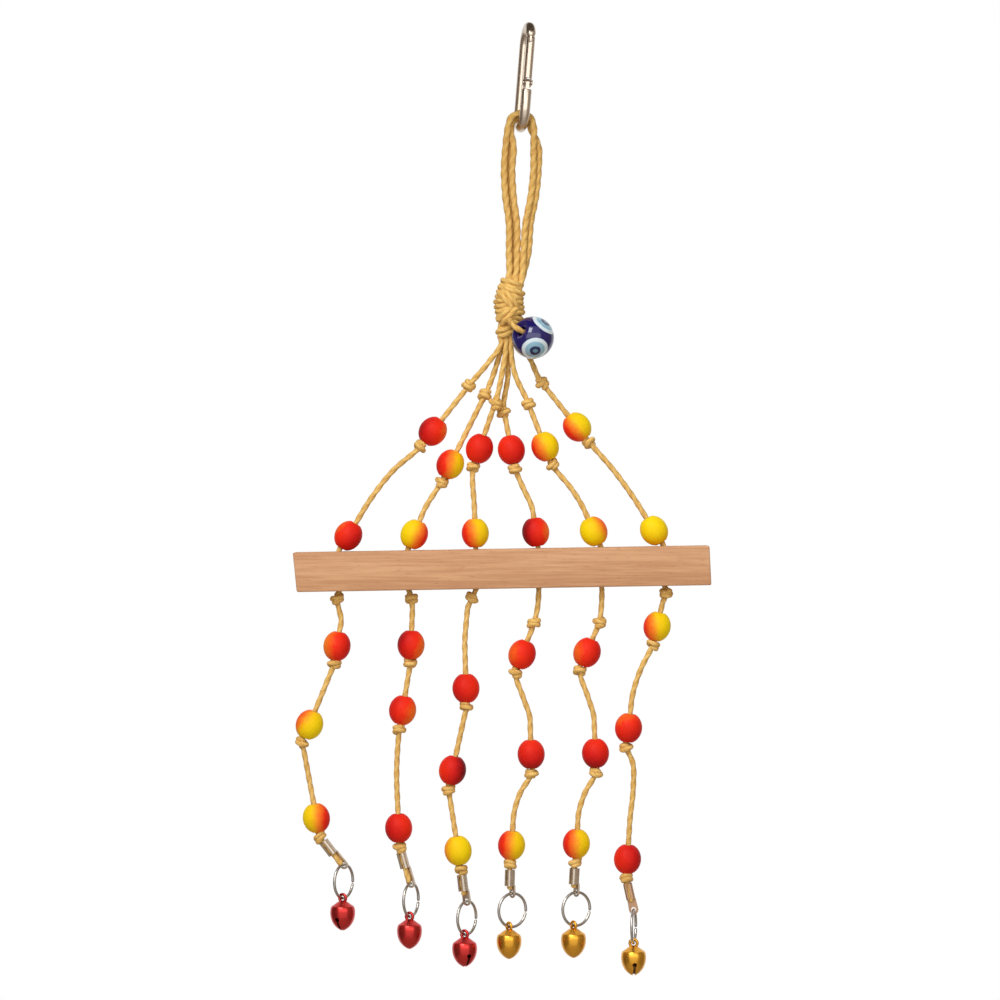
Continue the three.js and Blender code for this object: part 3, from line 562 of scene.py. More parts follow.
hookShape, hookShoulder, hookTop = hookWire()
noseRise = math.radians(clipLook["noseRise"])
noseMiddle = hookTop + clipLook["bend"] * math.sin(noseRise)
gateTop = noseMiddle - clipLook["wire"] * math.sin(noseRise) - clipLook["gap"]
acrossPin = Matrix.Rotation(math.pi / 2, 4, "Y")
atPin = Matrix.Translation((0, -clipLook["bend"], -clipLook["rivetDrop"]))
pinDrill = rod(clipLook["rivetRadius"] + clipLook["gap"], *clipLook["drill"]).moved(acrossPin)

tongueThick, tongueWide = clipLook["tongue"]
tongueFoot = hookShoulder - clipLook["tongueRoot"]
gateAt = -clipLook["bend"]
tongueOutline = [(gateAt - tongueWide / 2, tongueFoot), (gateAt + tongueWide / 2, tongueFoot)]
tongueOutline += arc(tongueWide / 2, 0, math.pi, steps=16, middle=(gateAt, -clipLook["rivetDrop"]))
tongue = carved(slab(tongueOutline, tongueThick).moved(sideways), [pinDrill.moved(atPin)])

bladeThick, bladeWide, bladeLap = clipLook["blade"]
bladeMiddle = -clipLook["bend"] * math.cos(noseRise) - bladeWide / 4
bladeOutline = box(bladeMiddle - bladeWide / 2, bladeMiddle + bladeWide / 2, gateTop - bladeLap, noseMiddle)
blade = slab(bladeOutline, bladeThick, clipLook["bladeEase"]).moved(sideways)
addPiece("hook", joined([hookShape, tongue, blade]).moved(hookTurn), metals["nickel"], "clip",
         ["clip_frame"])

# the gate's foot is round, so that it clears the hook's shoulder as it turns
gateLength = gateTop + clipLook["rivetDrop"]
gateCrown = [(radius, gateLength - below) for radius, below in clipLook["gateCrown"]]
gateRod = turned([*clipLook["gateFoot"], *gateCrown], sides=40, closed=False)
forkHalf, catchHalf = tongueThick / 2 + clipLook["gap"], bladeThick / 2 + clipLook["gap"]
forkTop = tongueWide / 2 + clipLook["floorGap"]
fork = slab(box(-forkHalf, forkHalf, clipLook["cutUnder"], forkTop), clipLook["cutDepth"])
catchFloor = gateLength - bladeLap - clipLook["floorGap"]
catch = slab(box(-catchHalf, catchHalf, catchFloor, gateLength + clipLook["cutOver"]), clipLook["cutDepth"])
addPiece("gate", carved(gateRod, [fork, catch, pinDrill]).moved(hookTurn @ atPin), metals["nickel"], "gate",
         ["clip_gate"])

pinHalf = clipLook["gateRadius"] + clipLook["rivetPlay"]
headWide, headTall = clipLook["rivetHead"]
upperPin = [(clipLook["rivetRadius"], pinHalf)]
upperPin += [(wide * headWide, pinHalf + tall * headTall) for wide, tall in clipLook["rivetDome"]]
rivetLine = [(radius, -height) for radius, height in reversed(upperPin)] + upperPin
rivetShape = turned(rivetLine, sides=32, closed=False).moved(hookTurn @ atPin @ acrossPin)
addPiece("rivet", rivetShape, metals["nickel"], "clip", ["clip_rivet"])


# hanging loop: three cords over the hook

print("hanging loop")
hangPoint = pivotOf("hanger")
loopLook = {
    "legs": 2.3, "gap": 0.6, "full": 1.22, "overSteps": 6,
    "left": ((-4.2, -7.4), (-4.7, -15.2), (-4.3, -24.8), (-2.9, -36.3), (-2.9, -45.6)),
    "right": ((5.6, -7.4), (5.6, -15.2), (4.7, -24.8), (2.6, -36.3), (1.9, -45.6)),
    "bundle": ((-2.2, -56.7), (-3.7, -61.5), (-4.3, -66)),
    "cords": (
        {"lane": -2.35, "left": (-1.5, -0.7), "right": (-0.9, -1.1), "low": ((-2.4, -1.2), (2.4, -1.2))},
        {"lane": 0, "left": (1.5, -0.7), "right": (0.95, 0.4), "low": ((0, -1.2), (2.4, 1.2))},
        {"lane": 2.35, "left": (0, 1.4), "right": (-0.9, 2), "low": ((-2.4, 1.2), (0, 1.2))})}


def loopSide(side, shift):  # the chosen points of one stretch, moved over to a cord's own place
    return [Vector((x + shift[0], shift[1], z)) for x, z in loopLook[side]]


def loopLine(cord):
    look, lane = loopLook, cord["lane"]
    rise = clipLook["bend"] - math.sqrt(clipLook["bend"] ** 2 - lane ** 2)
    radius = clipLook["wire"] + twineLook["radius"] + look["gap"] + look["legs"] * rise
    over = arc(radius, math.pi, -math.pi, look["overSteps"])
    stops = loopSide("bundle", cord["low"][0])[::-1] + loopSide("left", cord["left"])[::-1]
    stops += [Vector((x, lane, rise + z)) for x, z in over]
    stops += loopSide("right", cord["right"]) + loopSide("bundle", cord["low"][1])
    return smooth([hangPoint + stop for stop in stops])


for number, cord in enumerate(loopLook["cords"], 1):
    line = loopLine(cord)
    loop = addPiece(f"loop_cord_{number}", twine(line, loopLook["full"]), twineFinish, "hanger",
                    ["hanger_cord"])
    declare(line)


# gathering knot: bands of the cords crossing, and a collar below

print("gathering knot")
gatherLook = {
    "bands": (
        {"at": (-3.5, 0, -58.4), "tilt": 14, "reach": 3.4, "cords": 2, "from": 70, "turns": 1.12},
        {"at": (-4.1, 0, -62.2), "tilt": 17, "reach": 4.2, "cords": 3, "from": 84, "turns": 1.12},
        {"at": (-4.3, 0, -66.6), "tilt": -10, "reach": 4.5, "cords": 4, "from": 62, "turns": 1.12},
        {"at": (-4.3, 0, -70.9), "tilt": 14, "reach": 4.1, "cords": 2, "from": 92, "turns": 1.12},
        {"at": (-5.6, 0, -75.8), "tilt": -18, "reach": 2.7, "cords": 2, "from": 70, "turns": 1.12},
        {"at": (-4.2, -0.3, -64.4), "tilt": 50, "reach": 4.9, "cords": 2, "from": 172, "turns": 0.52},
        {"at": (-4.4, -0.3, -68.8), "tilt": -46, "reach": 4.7, "cords": 2, "from": 176, "turns": 0.5}),
    "spacing": 1.85, "stagger": 9, "tuck": 0.07, "rootReach": 0.35, "uneven": 0.05, "steps": 60,
    "core": {"cords": 5, "reach": 1.9, "top": (-3.6, 0, -57.5), "low": (-5.4, 0, -74.5)}}


def bandCord(band, row):
    look = gatherLook
    tilt = Matrix.Rotation(math.radians(band["tilt"]), 3, "Y")
    lift = (row - (band["cords"] - 1) / 2) * look["spacing"]
    points = []
    for n in range(look["steps"] + 1):
        t = n / look["steps"]
        angle = math.radians(band["from"] + look["stagger"] * row) + 2 * math.pi * band["turns"] * t
        clear = min(1, t / look["tuck"], (1 - t) / look["tuck"])  # 0 at both ends, where it dives in
        reach = band["reach"] * (look["rootReach"] + (1 - look["rootReach"]) * clear)
        swell = 1 + look["uneven"] * math.sin(2 * angle + row)
        spot = Vector((reach * swell * math.cos(angle), reach * math.sin(angle), lift))
        points.append(hangPoint + Vector(band["at"]) + tilt @ spot)
    return twine(evenly(points, twineLook["step"]))


gatherCords = [bandCord(band, row) for band in gatherLook["bands"] for row in range(band["cords"])]
core = gatherLook["core"]
for x, y in arc(core["reach"], 0, 2 * math.pi, core["cords"])[:-1]:
    middle = hangPoint + Vector((x, y, 0))
    gatherCords.append(twine([middle + Vector(core["top"]), middle + Vector(core["low"])]))
addPiece("gathering_knot", joined(gatherCords), twineFinish, "hanger", ["hanger_cord"])


# bar

print("bar")
barLook = {"length": 153.3, "height": 14.6, "depth": 15, "tilt": 0.96, "cuts": (4.9, 1.9), "ease": 0.6,
           "hole": 2.1, "drill": (-20, 5), "topCentre": (-6.9, 0, -156.1),
           "stations": (-60.6, -35, -9.8, 13.3, 36.5, 59.8)}
barPlace = (Matrix.Translation(hangPoint + Vector(barLook["topCentre"]))
            @ Matrix.Rotation(math.radians(-barLook["tilt"]), 4, "Y"))
barUp = (barPlace.to_3x3() @ up).normalized()
leftSkew, rightSkew = [barLook["height"] / 2 * math.tan(math.radians(cut)) for cut in barLook["cuts"]]
halfBar = barLook["length"] / 2
barOutline = [(-halfBar + leftSkew, -barLook["height"]), (halfBar + rightSkew, -barLook["height"]),
              (halfBar - rightSkew, 0), (-halfBar - leftSkew, 0)]
drills = [rod(barLook["hole"], *barLook["drill"]).moved(Matrix.Translation((station, 0, 0)))
          for station in barLook["stations"]]
barShape = carved(slab(barOutline, barLook["depth"], barLook["ease"]), drills)
addPiece("bar", barShape.moved(barPlace), beechFinish, "hanger", ["bar"], crease=30)
holeTops = [barPlace @ Vector((station, 0, 0)) for station in barLook["stations"]]
holeMouths = [top - barUp * barLook["height"] for top in holeTops]


# routes: legs from the hanging point, strands from the lower mouth of their hole

legRoutes = (
    {"fan": ((-6.6, -1.2, -68), (-7.6, -1.2, -75.6), (-7.3, -1.2, -80), (-11.6, -1.2, -86.6)),
     "knots": ((-18.9, 0, -95.2), (-37, 0, -118.1)), "bends": ((-47.4, 0, -127.2), (-55.6, 0, -137.6))},
    {"fan": ((-6.4, 1.2, -68), (-7.6, 1.2, -75.6), (-7.2, 1.2, -80), (-9.2, 1.4, -88.5)),
     "knots": ((-13, 1.2, -98.5), (-29.3, 0, -131.1)), "bends": ((-35.9, 0, -141.9),)},
    {"fan": ((-4.4, -1.2, -68), (-5.5, -1.5, -75.6), (-5.4, -1.5, -79.6), (-6.9, -1.8, -90.7)),
     "knots": ((-9.3, -1.6, -101.5), (-17.6, 0, -125.6)), "bends": ((-17.2, 0, -141.1),)},
    {"fan": ((-4.4, 1.2, -68), (-5.5, 1.2, -75.6), (-5.2, 1.2, -79.6), (-4.8, 1.6, -91.9)),
     "knots": ((-6.3, 2, -104.8), (-2.2, 0, -126.3)), "bends": ((1.1, 0, -134.1), (4.1, 0, -140.7))},
    {"fan": ((-2.2, -1.2, -68), (-3.5, -1.2, -75.6), (-3.7, -1.2, -80), (-2.4, -0.8, -90.7)),
     "knots": ((2.6, 0, -101.9), (11.5, 0, -124.8)), "bends": ((18.9, 0, -134.1), (22.6, 0, -140))},
    {"fan": ((-2.4, 1.2, -68), (-3.2, 1.2, -74.6), (-2, 1.6, -77.6), (3, 2, -84.8)),
     "knots": ((7.4, 0.6, -94.1), (25.2, 0, -116.5)), "bends": ((34.1, 0, -126.7), (41.9, 0, -137.4))})
strandRoutes = (
    {"barKnot": (-0.9, -2.6), "eye": (1.1, -101.8), "tip": 4.6,
     "spans": (((0.7, -11), (-2, -27.3)), ((-13.7, -56),), ((-7.2, -91),))},
    {"barKnot": (1.1, -3), "eye": (0.4, -108.9), "tip": 5.2,
     "spans": (((0.7, -27.4),), ((-3.3, -51.5),), ((-4.3, -72.4), (-3.3, -95.2)))},
    {"barKnot": (-1.5, -3.2), "eye": (-4.3, -115.9), "tip": 1.2,
     "spans": (((-4.3, -21), (-3.7, -43.9)), ((-10.4, -74.1),), ((-5.7, -103.9),))},
    {"barKnot": None, "eye": (-10.9, -113.3), "tip": 0.8,
     "spans": (((-0.4, -6.8), (-1.9, -13.5)), ((-8.7, -31.3),), ((-5.7, -40.9), (-3.3, -48.3), (-2.6, -68.7)),
               ((-6.9, -76.1), (-9.3, -84.3), (-10.6, -102.4)))},
    {"barKnot": None, "eye": (-10.4, -113.2), "tip": 0.8,
     "spans": (((0, -7.2), (-0.9, -13.5)), ((-8, -30.9),), ((-5, -40.9), (-2.8, -48.3), (-1.9, -68.7)),
               ((-6.1, -76.4), (-8.5, -84.2), (-9.8, -102.2)))},
    {"barKnot": (0.7, -2.5), "eye": (-11.5, -120.2), "tip": 0.6,
     "spans": (((-4.3, -22),), ((-8.7, -30.9), (-11.9, -41.2), (-14.1, -59.7)),
               ((-11.7, -65.7), (-11.5, -74.6), (-12.8, -87.5), (-14.1, -108.3)))})
knotReach, cordGap = 1.8, 0.3  # half a knot's height, and the clearance beside it


def inPlane(x, z):  # a strand's chosen points lie in the bar's middle plane
    return Vector((x, 0, z))


# beads

print("beads")
beadLook = {"radius": 5.05, "half": 5.7, "bore": 1.5, "lip": 0.5, "lipDepth": 0.4, "sides": 44,
            "redBelow": 0.42, "yellowAbove": 0.7}
beadPaints = {  # where the paint starts and ends, from dark red 0 to yellow 1, and which way it lightens
    "leg_bead": ((0.04, 0.58, 345), (0.15, 0.98, 350), (0.2, 0.42, 200),
                 (0.2, 0.42, 160), (0.36, 1.0, 30), (0.26, 1.06, 40)),
    "bar_bead": ((0.1, 0.5, 140), (0.32, 1.1, 160), (0.28, 1.0, 10),
                 (-0.06, 0.6, 0), (0.44, 1.2, 205), (0.78, 1.0, 100)),
    "strand_1_bead": ((0.2, 0.64, 170), (0.46, 1.1, 320), (0.24, 1.04, 180)),
    "strand_2_bead": ((0.02, 0.62, 340), (0.2, 0.6, 340), (0.14, 0.42, 20)),
    "strand_3_bead": ((0.16, 0.46, 0), (-0.06, 0.5, 180), (0.6, 1.1, 0)),
    "strand_4_bead": ((0.24, 0.52, 180), (0.08, 0.42, 80), (0.22, 1.02, 0)),
    "strand_5_bead": ((0.24, 0.52, 180), (0.08, 0.42, 80), (0.22, 1.02, 0)),
    "strand_6_bead": ((0.3, 1.12, 10), (0.2, 0.5, 110), (0.1, 0.42, 190))}


def barrel(radius, half, bore, endRadius, lip, steps=24, lipSteps=5):  # a round bead, its bore softened
    reach = math.acos(endRadius / radius)
    line = []
    for n in range(steps + 1):
        angle = -reach + 2 * reach * n / steps
        line.append((radius * math.cos(angle), half * math.sin(angle)))
    top = line[-1][1]
    for n in range(1, lipSteps + 1):
        angle = math.pi / 2 * n / lipSteps
        line.append((bore + (endRadius - bore) * (1 - math.sin(angle)), top - lip * (1 - math.cos(angle))))
    return line + [(across, -height) for across, height in reversed(line[-lipSteps:])]


beadLine = barrel(beadLook["radius"], beadLook["half"], beadLook["bore"], beadLook["bore"] + beadLook["lip"],
                  beadLook["lipDepth"])
beadShape = turned(beadLine, beadLook["sides"])


def paintedBead(node, start, end, side):
    axis, centre = axisOf(node), centreOf(node)
    shape = beadShape.moved(basis(*facing(axis), axis, centre))
    light = right * math.cos(math.radians(side)) + up * math.sin(math.radians(side))
    laid = []
    for point in shape.points:
        across = 0.5 + 0.5 * (point - centre).dot(light) / beadLook["half"]
        laid.append(start + (end - start) * across)
    shape.corners = [[(laid[i], 0.5) for i in face] for face in shape.faces]
    (start + end) / 2 < beadLook["redBelow"]
    (start + end) / 2 > beadLook["yellowAbove"]
    addPiece(f"painted_{node}", shape, beadFinish, node, [node])


for row, paints in beadPaints.items():
    for number, look in enumerate(paints, 1):
        paintedBead(f"{row}_{number}", *look)


# eye bead

print("eye bead")
eyeLook = {"radius": 7.9, "half": 7.7, "bore": 1.7, "endRadius": 4.0, "lip": 0.9, "sides": 64,
           "eyes": ((0.1, -0.75, -0.65), (0.6, -0.34, 0.72)), "wobble": 0.02, "wobbleScale": 350,
           "ground": paint(26, 18, 92),
           # rings from the outside in: white, pale blue, the dark pupil, then a painted glint, a light spot
           # painted in each pupil's middle
           "rings": ((0.79, 0.006, paint(214, 228, 234)), (0.885, 0.01, paint(140, 182, 202)),
                     (0.966, 0.006, paint(14, 28, 82)), (0.9945, 0.0015, paint(96, 140, 160))),
           "tailTop": (-4.9, 0, -70), "tailLead": 2.2, "knotDrop": 0.6, "knotSpin": 0.6}
eyeCentre, eyeAxis = centreOf("eye_bead"), axisOf("eye_bead")
eyeFinish = Finish("eye glass", {"Roughness": 0.12, "Specular IOR Level": 0.4, "Coat Weight": 0.35,
                                 "Coat Roughness": 0.04})
spot = eyeFinish.node("ShaderNodeVectorMath", {"operation": "SUBTRACT"},
                      {0: eyeFinish.place(), 1: eyeCentre * mm})
outward = eyeFinish.node("ShaderNodeVectorMath", {"operation": "NORMALIZE"}, {0: spot})
nearness = None  # 1 in the middle of an eye
for eye in eyeLook["eyes"]:
    for turn in (1, -1):  # each eye has its like on the far side
        towards = eyeFinish.node("ShaderNodeVectorMath", {"operation": "DOT_PRODUCT"},
                                 {0: outward, 1: Vector(eye).normalized() * turn}, "Value")
        nearness = towards if nearness is None else nearness.atLeast(towards)
wobble = eyeFinish.noise(eyeFinish.place(), eyeLook["wobbleScale"]) - 0.5
nearness = nearness + wobble * eyeLook["wobble"]
# the last ring laid on is the painted highlight in each pupil's middle
glass = eyeLook["ground"]
for middle, edge, colour in eyeLook["rings"]:
    glass = eyeFinish.mix(nearness.between(middle - edge, middle + edge), glass, colour)
eyeFinish.set("Base Color", glass)
eyeLine = barrel(eyeLook["radius"], eyeLook["half"], eyeLook["bore"], eyeLook["endRadius"], eyeLook["lip"])
eyeShape = turned(eyeLine, eyeLook["sides"]).moved(basis(*facing(eyeAxis), eyeAxis, eyeCentre))
addPiece("eye_bead_glass", eyeShape, eyeFinish, "eye_bead", ["eye_bead"])

eyeHalf = eyeLook["half"] * math.sqrt(1 - (eyeLook["endRadius"] / eyeLook["radius"]) ** 2)
stopper = eyeCentre - eyeAxis * (eyeHalf + cordGap + eyeLook["knotDrop"])
tailLead = eyeCentre + eyeAxis * (eyeHalf + eyeLook["tailLead"])
tailLine = smooth([hangPoint + Vector(eyeLook["tailTop"]), tailLead, eyeCentre, stopper])
tail = joined([twine(tailLine), knot(stopper, eyeAxis, eyeLook["knotSpin"], "small")])
addPiece("eye_bead_tail", tail, twineFinish, "hanger", ["hanger_cord"])


# legs

print("legs")
slideLook = {"long": 20, "lead": 4, "short": 15, "run": 13}  # stretches that are pinned straight, and where
legLook = {"overBar": 9, "mouthLift": 0.3}


def straightened(stops, places):  # extra points above each knot keep the cord straight where its bead slides
    result = [stops[0]]
    for before, stop in zip(stops, stops[1:]):
        gap = before - stop
        if stop in places and gap.length > slideLook["long"]:
            result.append(before - gap.normalized() * slideLook["lead"])
        if stop in places and gap.length > slideLook["short"]:
            result.append(stop + gap.normalized() * slideLook["run"])
        result.append(stop)
    return result


for number, (route, strand) in enumerate(zip(legRoutes, strandRoutes), 1):
    top, mouth = holeTops[number - 1], holeMouths[number - 1]
    knots = [hangPoint + Vector(point) for point in route["knots"]]
    stops = [hangPoint + Vector(point) for point in route["fan"]] + knots
    stops += [hangPoint + Vector(point) for point in route["bends"]]
    stops.append(top + (stops[-1] - top).normalized() * legLook["overBar"])
    stops += [top, mouth + barUp * legLook["mouthLift"]]
    if strand["barKnot"]:
        barKnot = mouth + inPlane(*strand["barKnot"])
        knots.append(barKnot)
        stops.append(barKnot)
    stops.append(pivotOf(f"strand_{number}"))
    stops = straightened(stops, knots[1:2])
    line = smooth(stops)
    leg = addPiece(f"leg_{number}", twine(line), twineFinish, "hanger", ["hanger_cord"])
    kinds = ["free", *["stop"] * (len(knots) - 1)]
    lumps = tied(stops, knots, kinds, "legSpin", number)
    legKnots = addPiece(f"leg_knots_{number}", lumps, twineFinish, "hanger", ["hanger_cord"])
    declare(line)


# cord ends, rings and bells

print("strands")
crimpLook = {"length": 6.0, "inner": 1.1, "wall": 0.5, "corner": 0.6, "seam": 0.8, "eyeBore": 0.95,
             "rim": 0.8, "neck": ((0, -0.2), (0.3, 0.6)), "ease": 0.12, "drill": (-3, 3)}
crimpPlates = {6: "coppery plate"}  # this one is finished a darker, coppery brown
ringLook = {"radius": 6.2, "wire": 0.55, "splitAt": 100, "split": 12, "steps": 64}
bellForm = {"radius": 4.65, "height": 10.9, "wall": 0.5, "top": -1.25, "loop": (1.4, 0.55), "sides": 56,
            "slot": 0.45, "slotTop": 4.4, "mouth": 0.85, "slotDepth": 14, "slotBelow": 2,
            "crown": ((0, -0.036), (0.34, -0.036), (0.48, 0.055), (0.88, 0.16)), "crownSteps": 14,
            "belly": ((0.88, 0.16), (1.1, 0.28), (1.1, 0.84), (0, 1)), "bellySteps": 26,
            "pellet": 2.2, "pelletRest": 2.95}
bellTurns = {1: ("red", 63), 2: ("red", 8), 3: ("red", 115), 4: ("gold", 6), 5: ("gold", 4), 6: ("gold", 94)}


def crimpShape(eyeDrop):  # sheet folded round the cord, its back running down to an eye
    look = crimpLook
    outer = look["inner"] + look["wall"]
    middle = (look["inner"] + outer) / 2
    inset = middle - look["corner"]
    bent = [(-middle, look["seam"] / 2)]
    for x, y in ((-1, 1), (1, 1), (1, -1), (-1, -1)):
        start = math.atan2(y, x) + math.pi / 4
        bent += arc(look["corner"], start, -math.pi / 2, steps=6, middle=(x * inset, y * inset))
    bent.append((-middle, -look["seam"] / 2))
    bent = [Vector((x, y, 0)) for x, y in bent]
    edges = []
    for i, point in enumerate(bent):
        run = (bent[min(i + 1, len(bent) - 1)] - bent[max(i - 1, 0)]).normalized()
        edges.append((point, Vector((-run.y, run.x, 0)) * look["wall"] / 2))
    ring = [point + across for point, across in edges] + [point - across for point, across in reversed(edges)]
    lying = Matrix.Rotation(math.pi / 2, 4, "X")
    fold = slab([(point.x, point.y) for point in ring], look["length"])
    fold = fold.moved(Matrix.Translation((0, 0, look["length"] / 2)) @ lying)
    neck = [(outer - narrower, height) for narrower, height in look["neck"]]
    eye = arc(look["eyeBore"] + look["rim"], math.pi, math.pi, steps=16, middle=(0, -eyeDrop))
    outline = [(-x, z) for x, z in reversed(neck)] + eye + neck
    hole = rod(look["eyeBore"], *look["drill"]).moved(Matrix.Translation((0, 0, -eyeDrop)) @ lying)
    plate = carved(slab(outline, look["wall"], look["ease"]), [hole])
    return joined([fold, plate.moved(Matrix.Translation((middle, 0, 0)) @ sideways)])


def curve(handles, steps, width, height):  # a soft bend between four handles
    a, b, c, d = [Vector((x * width, -z * height)) for x, z in handles]
    line = []
    for n in range(steps + 1):
        t = n / steps
        line.append(a * (1 - t) ** 3 + b * 3 * t * (1 - t) ** 2 + c * 3 * t ** 2 * (1 - t) + d * t ** 3)
    return [(max(point.x, 0), point.y) for point in line]


def bellShape(slotTurn):
    look = bellForm
    shells = []
    for inset in (0, look["wall"]):
        width, height = look["radius"] - inset, look["height"] - 2 * inset
        line = curve(look["crown"], look["crownSteps"], width, height)
        line += curve(look["belly"], look["bellySteps"], width, height)[1:]
        line = [(x, z + look["top"] - inset) for x, z in line]
        line[-1] = (0, line[-1][1])
        shells.append(turned(line, look["sides"], closed=False))
    tipHeight = look["top"] - look["height"]
    slotFoot = tipHeight - look["slotBelow"]
    mouthAt = (0, tipHeight + look["slotTop"])
    opening = math.asin(look["slot"] / look["mouth"])  # where the round mouth runs into the slot
    outline = [(-look["slot"], slotFoot), (look["slot"], slotFoot)]
    outline += arc(look["mouth"], opening - math.pi / 2, 2 * math.pi - 2 * opening, steps=16, middle=mouthAt)
    slot = slab(outline, look["slotDepth"]).moved(Matrix.Rotation(math.radians(slotTurn + 90), 4, "Z"))
    shell = carved(carved(shells[0], [shells[1]]), [slot])
    radius, thick = look["loop"]
    loop = [Vector((0, y, z)) for y, z in arc(radius, 0, 2 * math.pi, steps=40)[:-1]]
    return joined([shell, wire(loop, thick, sides=14, closed=True)])


def ringShape(centre, along):  # wire bent round until its ends all but meet
    look = ringLook
    points = []
    for n in range(look["steps"] + 1):
        angle = math.radians(look["splitAt"] + look["split"] / 2 + (360 - look["split"]) * n / look["steps"])
        points.append(centre + (along * math.sin(angle) + up * math.cos(angle)) * look["radius"])
    return wire(points, look["wire"], sides=14)


ball = arc(bellForm["pellet"], -math.pi / 2, math.pi, steps=16)
ball[0], ball[-1] = (0, ball[0][1]), (0, ball[-1][1])
pelletShape = turned(ball, sides=24, closed=False)

for number, route in enumerate(strandRoutes, 1):
    body, mouth = f"strand_{number}", holeMouths[number - 1]
    stops = [pivotOf(body)]
    knots = []
    for span in route["spans"]:
        stops += [mouth + inPlane(*point) for point in span]
        knots.append(stops[-1])
    eye = mouth + inPlane(*route["eye"])
    down = (eye - knots[-1]).normalized()
    eyeDrop = (eye - knots[-1]).length - knotReach - cordGap - crimpLook["length"]
    crimpEnd = eye - down * eyeDrop
    stops += [crimpEnd, crimpEnd + down * route["tip"]]
    stops = straightened(stops, knots)
    line = smooth(stops)
    pinchEnd = lengthOf(line) - route["tip"]
    strandShape = twine(line, 1.0, (pinchEnd - crimpLook["length"], pinchEnd))
    cord = addPiece(f"strand_twine_{number}", strandShape, twineFinish, body, [f"{body}_cord"])
    kinds = ["top", *["stop"] * (len(knots) - 2), "end"]
    lumps = tied(stops, knots, kinds, "strandSpin", number)
    strandKnots = addPiece(f"strand_knots_{number}", lumps, twineFinish, body)

    ringAlong = axisOf(f"ring_{number}")
    through = (ringAlong + down * -ringAlong.dot(down)).normalized()
    folded = crimpShape(eyeDrop).moved(basis(through, through.cross(down), -down, crimpEnd))
    plating = metals[crimpPlates.get(number, "dull plate")]
    crimp = addPiece(f"crimp_{number}", folded, plating, body, [f"{body}_crimp"])
    hoop = ringShape(pivotOf(f"ring_{number}") - up * ringLook["radius"], ringAlong)
    ring = addPiece(f"split_ring_{number}", hoop, metals["ring wire"], f"ring_{number}",
                    [f"{body}_ring"])

    colour, turn = bellTurns[number]
    bellAt = pivotOf(f"bell_{number}")
    ringTurn = math.degrees(math.atan2(ringAlong.y, ringAlong.x))
    bellPlace = Matrix.Translation(bellAt) @ Matrix.Rotation(math.radians(ringTurn), 4, "Z")
    bell = addPiece(f"jingle_bell_{number}", bellShape(turn - ringTurn).moved(bellPlace),
                    metals[f"bell {colour}"], f"bell_{number}", [f"{body}_bell"], crease=30)
    restAt = bellAt + up * (bellForm["top"] - bellForm["height"] + bellForm["pelletRest"])
    addPiece(f"pellet_{number}", pelletShape.moved(Matrix.Translation(restAt)), ironFinish, f"bell_{number}")
    declare(line)


# camera, backdrop and light

print("studio")
shot = {"middle": (-10.56, -173.2), "width": 370.37, "distance": 1500}
cameraData = bpy.data.cameras.new("camera")
camera = bpy.data.objects.new("camera", cameraData)
bpy.context.scene.collection.objects.link(camera)
camera.location = Vector((shot["middle"][0], -shot["distance"], shot["middle"][1])) * mm
camera.rotation_euler = (math.pi / 2, 0, 0)
cameraData.angle = 2 * math.atan(shot["width"] / 2 / shot["distance"])
cameraData.clip_end = 20
bpy.context.scene.camera = camera


def whiteToEye(finish, shadeStrength):  # pure white where it is seen, softer where it only lights
    seen = None
    for ray in ("Is Camera Ray", "Is Glossy Ray", "Is Transmission Ray"):
        met = finish.node("ShaderNodeLightPath", None, None, ray)
        seen = met if seen is None else seen.atLeast(met)
    return seen * (1 - shadeStrength) + shadeStrength


def sheet(name, corners, finish):  # a flat piece of the studio
    mesh = bpy.data.meshes.new(name)
    mesh.from_pydata(corners, [], [(0, 1, 2, 3)])
    mesh.materials.append(finish.material)
    piece = bpy.data.objects.new(name, mesh)
    bpy.context.scene.collection.objects.link(piece)
    return piece


floorLook = {"reach": 1.6, "height": -0.85, "tone": (0.8, 0.8, 0.8, 1)}
floorFinish = Finish("floor", {"Base Color": floorLook["tone"], "Roughness": 1.0})
glow = floorFinish.node("ShaderNodeEmission", None, {"Color": (1, 1, 1, 1), "Strength": 1.0})
plain = Wire(floorFinish, floorFinish.shader.outputs[0])
mixed = floorFinish.node("ShaderNodeMixShader", None, {0: whiteToEye(floorFinish, 0.0), 1: plain, 2: glow})
floorFinish.feed(floorFinish.tree.nodes["Material Output"].inputs["Surface"], mixed)
floorEdge = box(-floorLook["reach"], floorLook["reach"], -floorLook["reach"], floorLook["reach"])
sheet("floor", [(x, y, floorLook["height"]) for x, y in floorEdge], floorFinish)

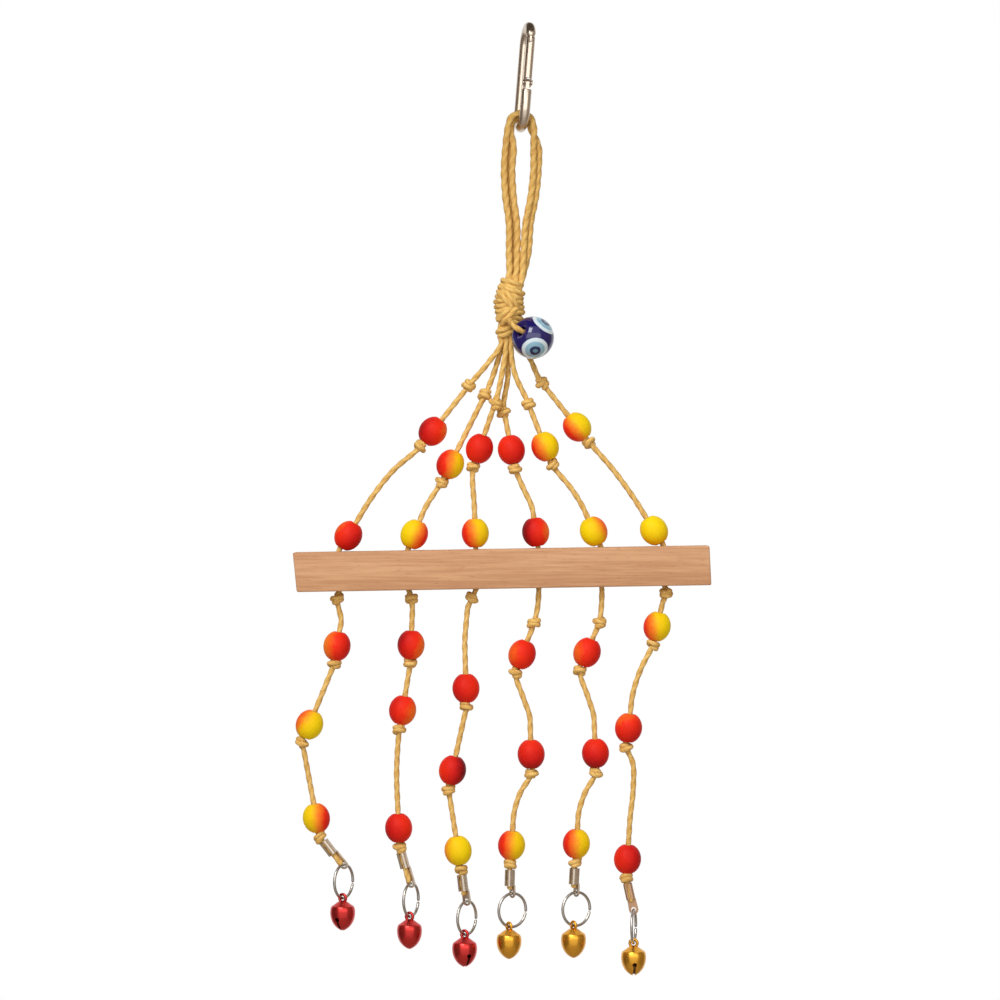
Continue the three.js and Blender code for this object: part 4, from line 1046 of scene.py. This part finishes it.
roomLight = 0.5  # how strongly the white room lights the toy
world = bpy.data.worlds.new("studio")
world.use_nodes = True
bpy.context.scene.world = world
room = Finish("studio", tree=world.node_tree)
background = world.node_tree.nodes["Background"]
background.inputs["Color"].default_value = (1, 1, 1, 1)
room.feed(background.inputs["Strength"], whiteToEye(room, roomLight))

cards = {  # round the shot, so that bright metal has something to show
    "leftCard": (paint(168, 158, 149),
                 ((-0.75, -0.9, -1.2), (-0.75, 0.45, -1.2), (-0.75, 0.45, 0.9), (-0.75, -0.9, 0.9))),
    "rightCard": (paint(184, 175, 166),
                  ((0.75, -0.9, -1.2), (0.75, 0.45, -1.2), (0.75, 0.45, 0.9), (0.75, -0.9, 0.9))),
    "lowCard": (paint(205, 198, 190),
                ((-0.75, -0.9, -0.8), (0.75, -0.9, -0.8), (0.75, 0.45, -0.8), (-0.75, 0.45, -0.8))),
    "topCard": (paint(126, 118, 110),
                ((-0.09, -0.1, 0.06), (0.09, -0.1, 0.06), (0.09, 0.08, 0.06), (-0.09, 0.08, 0.06))),
    "hoodCard": (paint(126, 118, 110),
                 ((-0.17, -0.1, 0.03), (-0.09, -0.1, 0.06), (-0.09, 0.08, 0.06), (-0.17, 0.08, 0.03)))}
for name, (tone, corners) in cards.items():
    cardFinish = Finish(name, {"Base Color": tone, "Roughness": 1.0, "Specular IOR Level": 0.0})
    card = sheet(name, corners, cardFinish)
    card.visible_camera = False

lamps = {
    "key": {"at": (-0.6, -1.15, 1.0), "aim": (0, 0, -0.17), "size": (0.8, 0.8), "power": 20},
    "strip": {"at": (0.15, -1.45, 0.21), "aim": (0.15, 0, 0.21), "size": (2.6, 0.7), "power": 8.2}}
for name, lamp in lamps.items():
    data = bpy.data.lights.new(name, "AREA")
    data.shape = "RECTANGLE"
    data.size, data.size_y = lamp["size"]
    data.energy = lamp["power"]
    light = bpy.data.objects.new(name, data)
    light.location = lamp["at"]
    light.rotation_euler = (Vector(lamp["aim"]) - light.location).to_track_quat("-Z", "Y").to_euler()
    bpy.context.scene.collection.objects.link(light)

bpy.context.scene.view_settings.view_transform = "Standard"
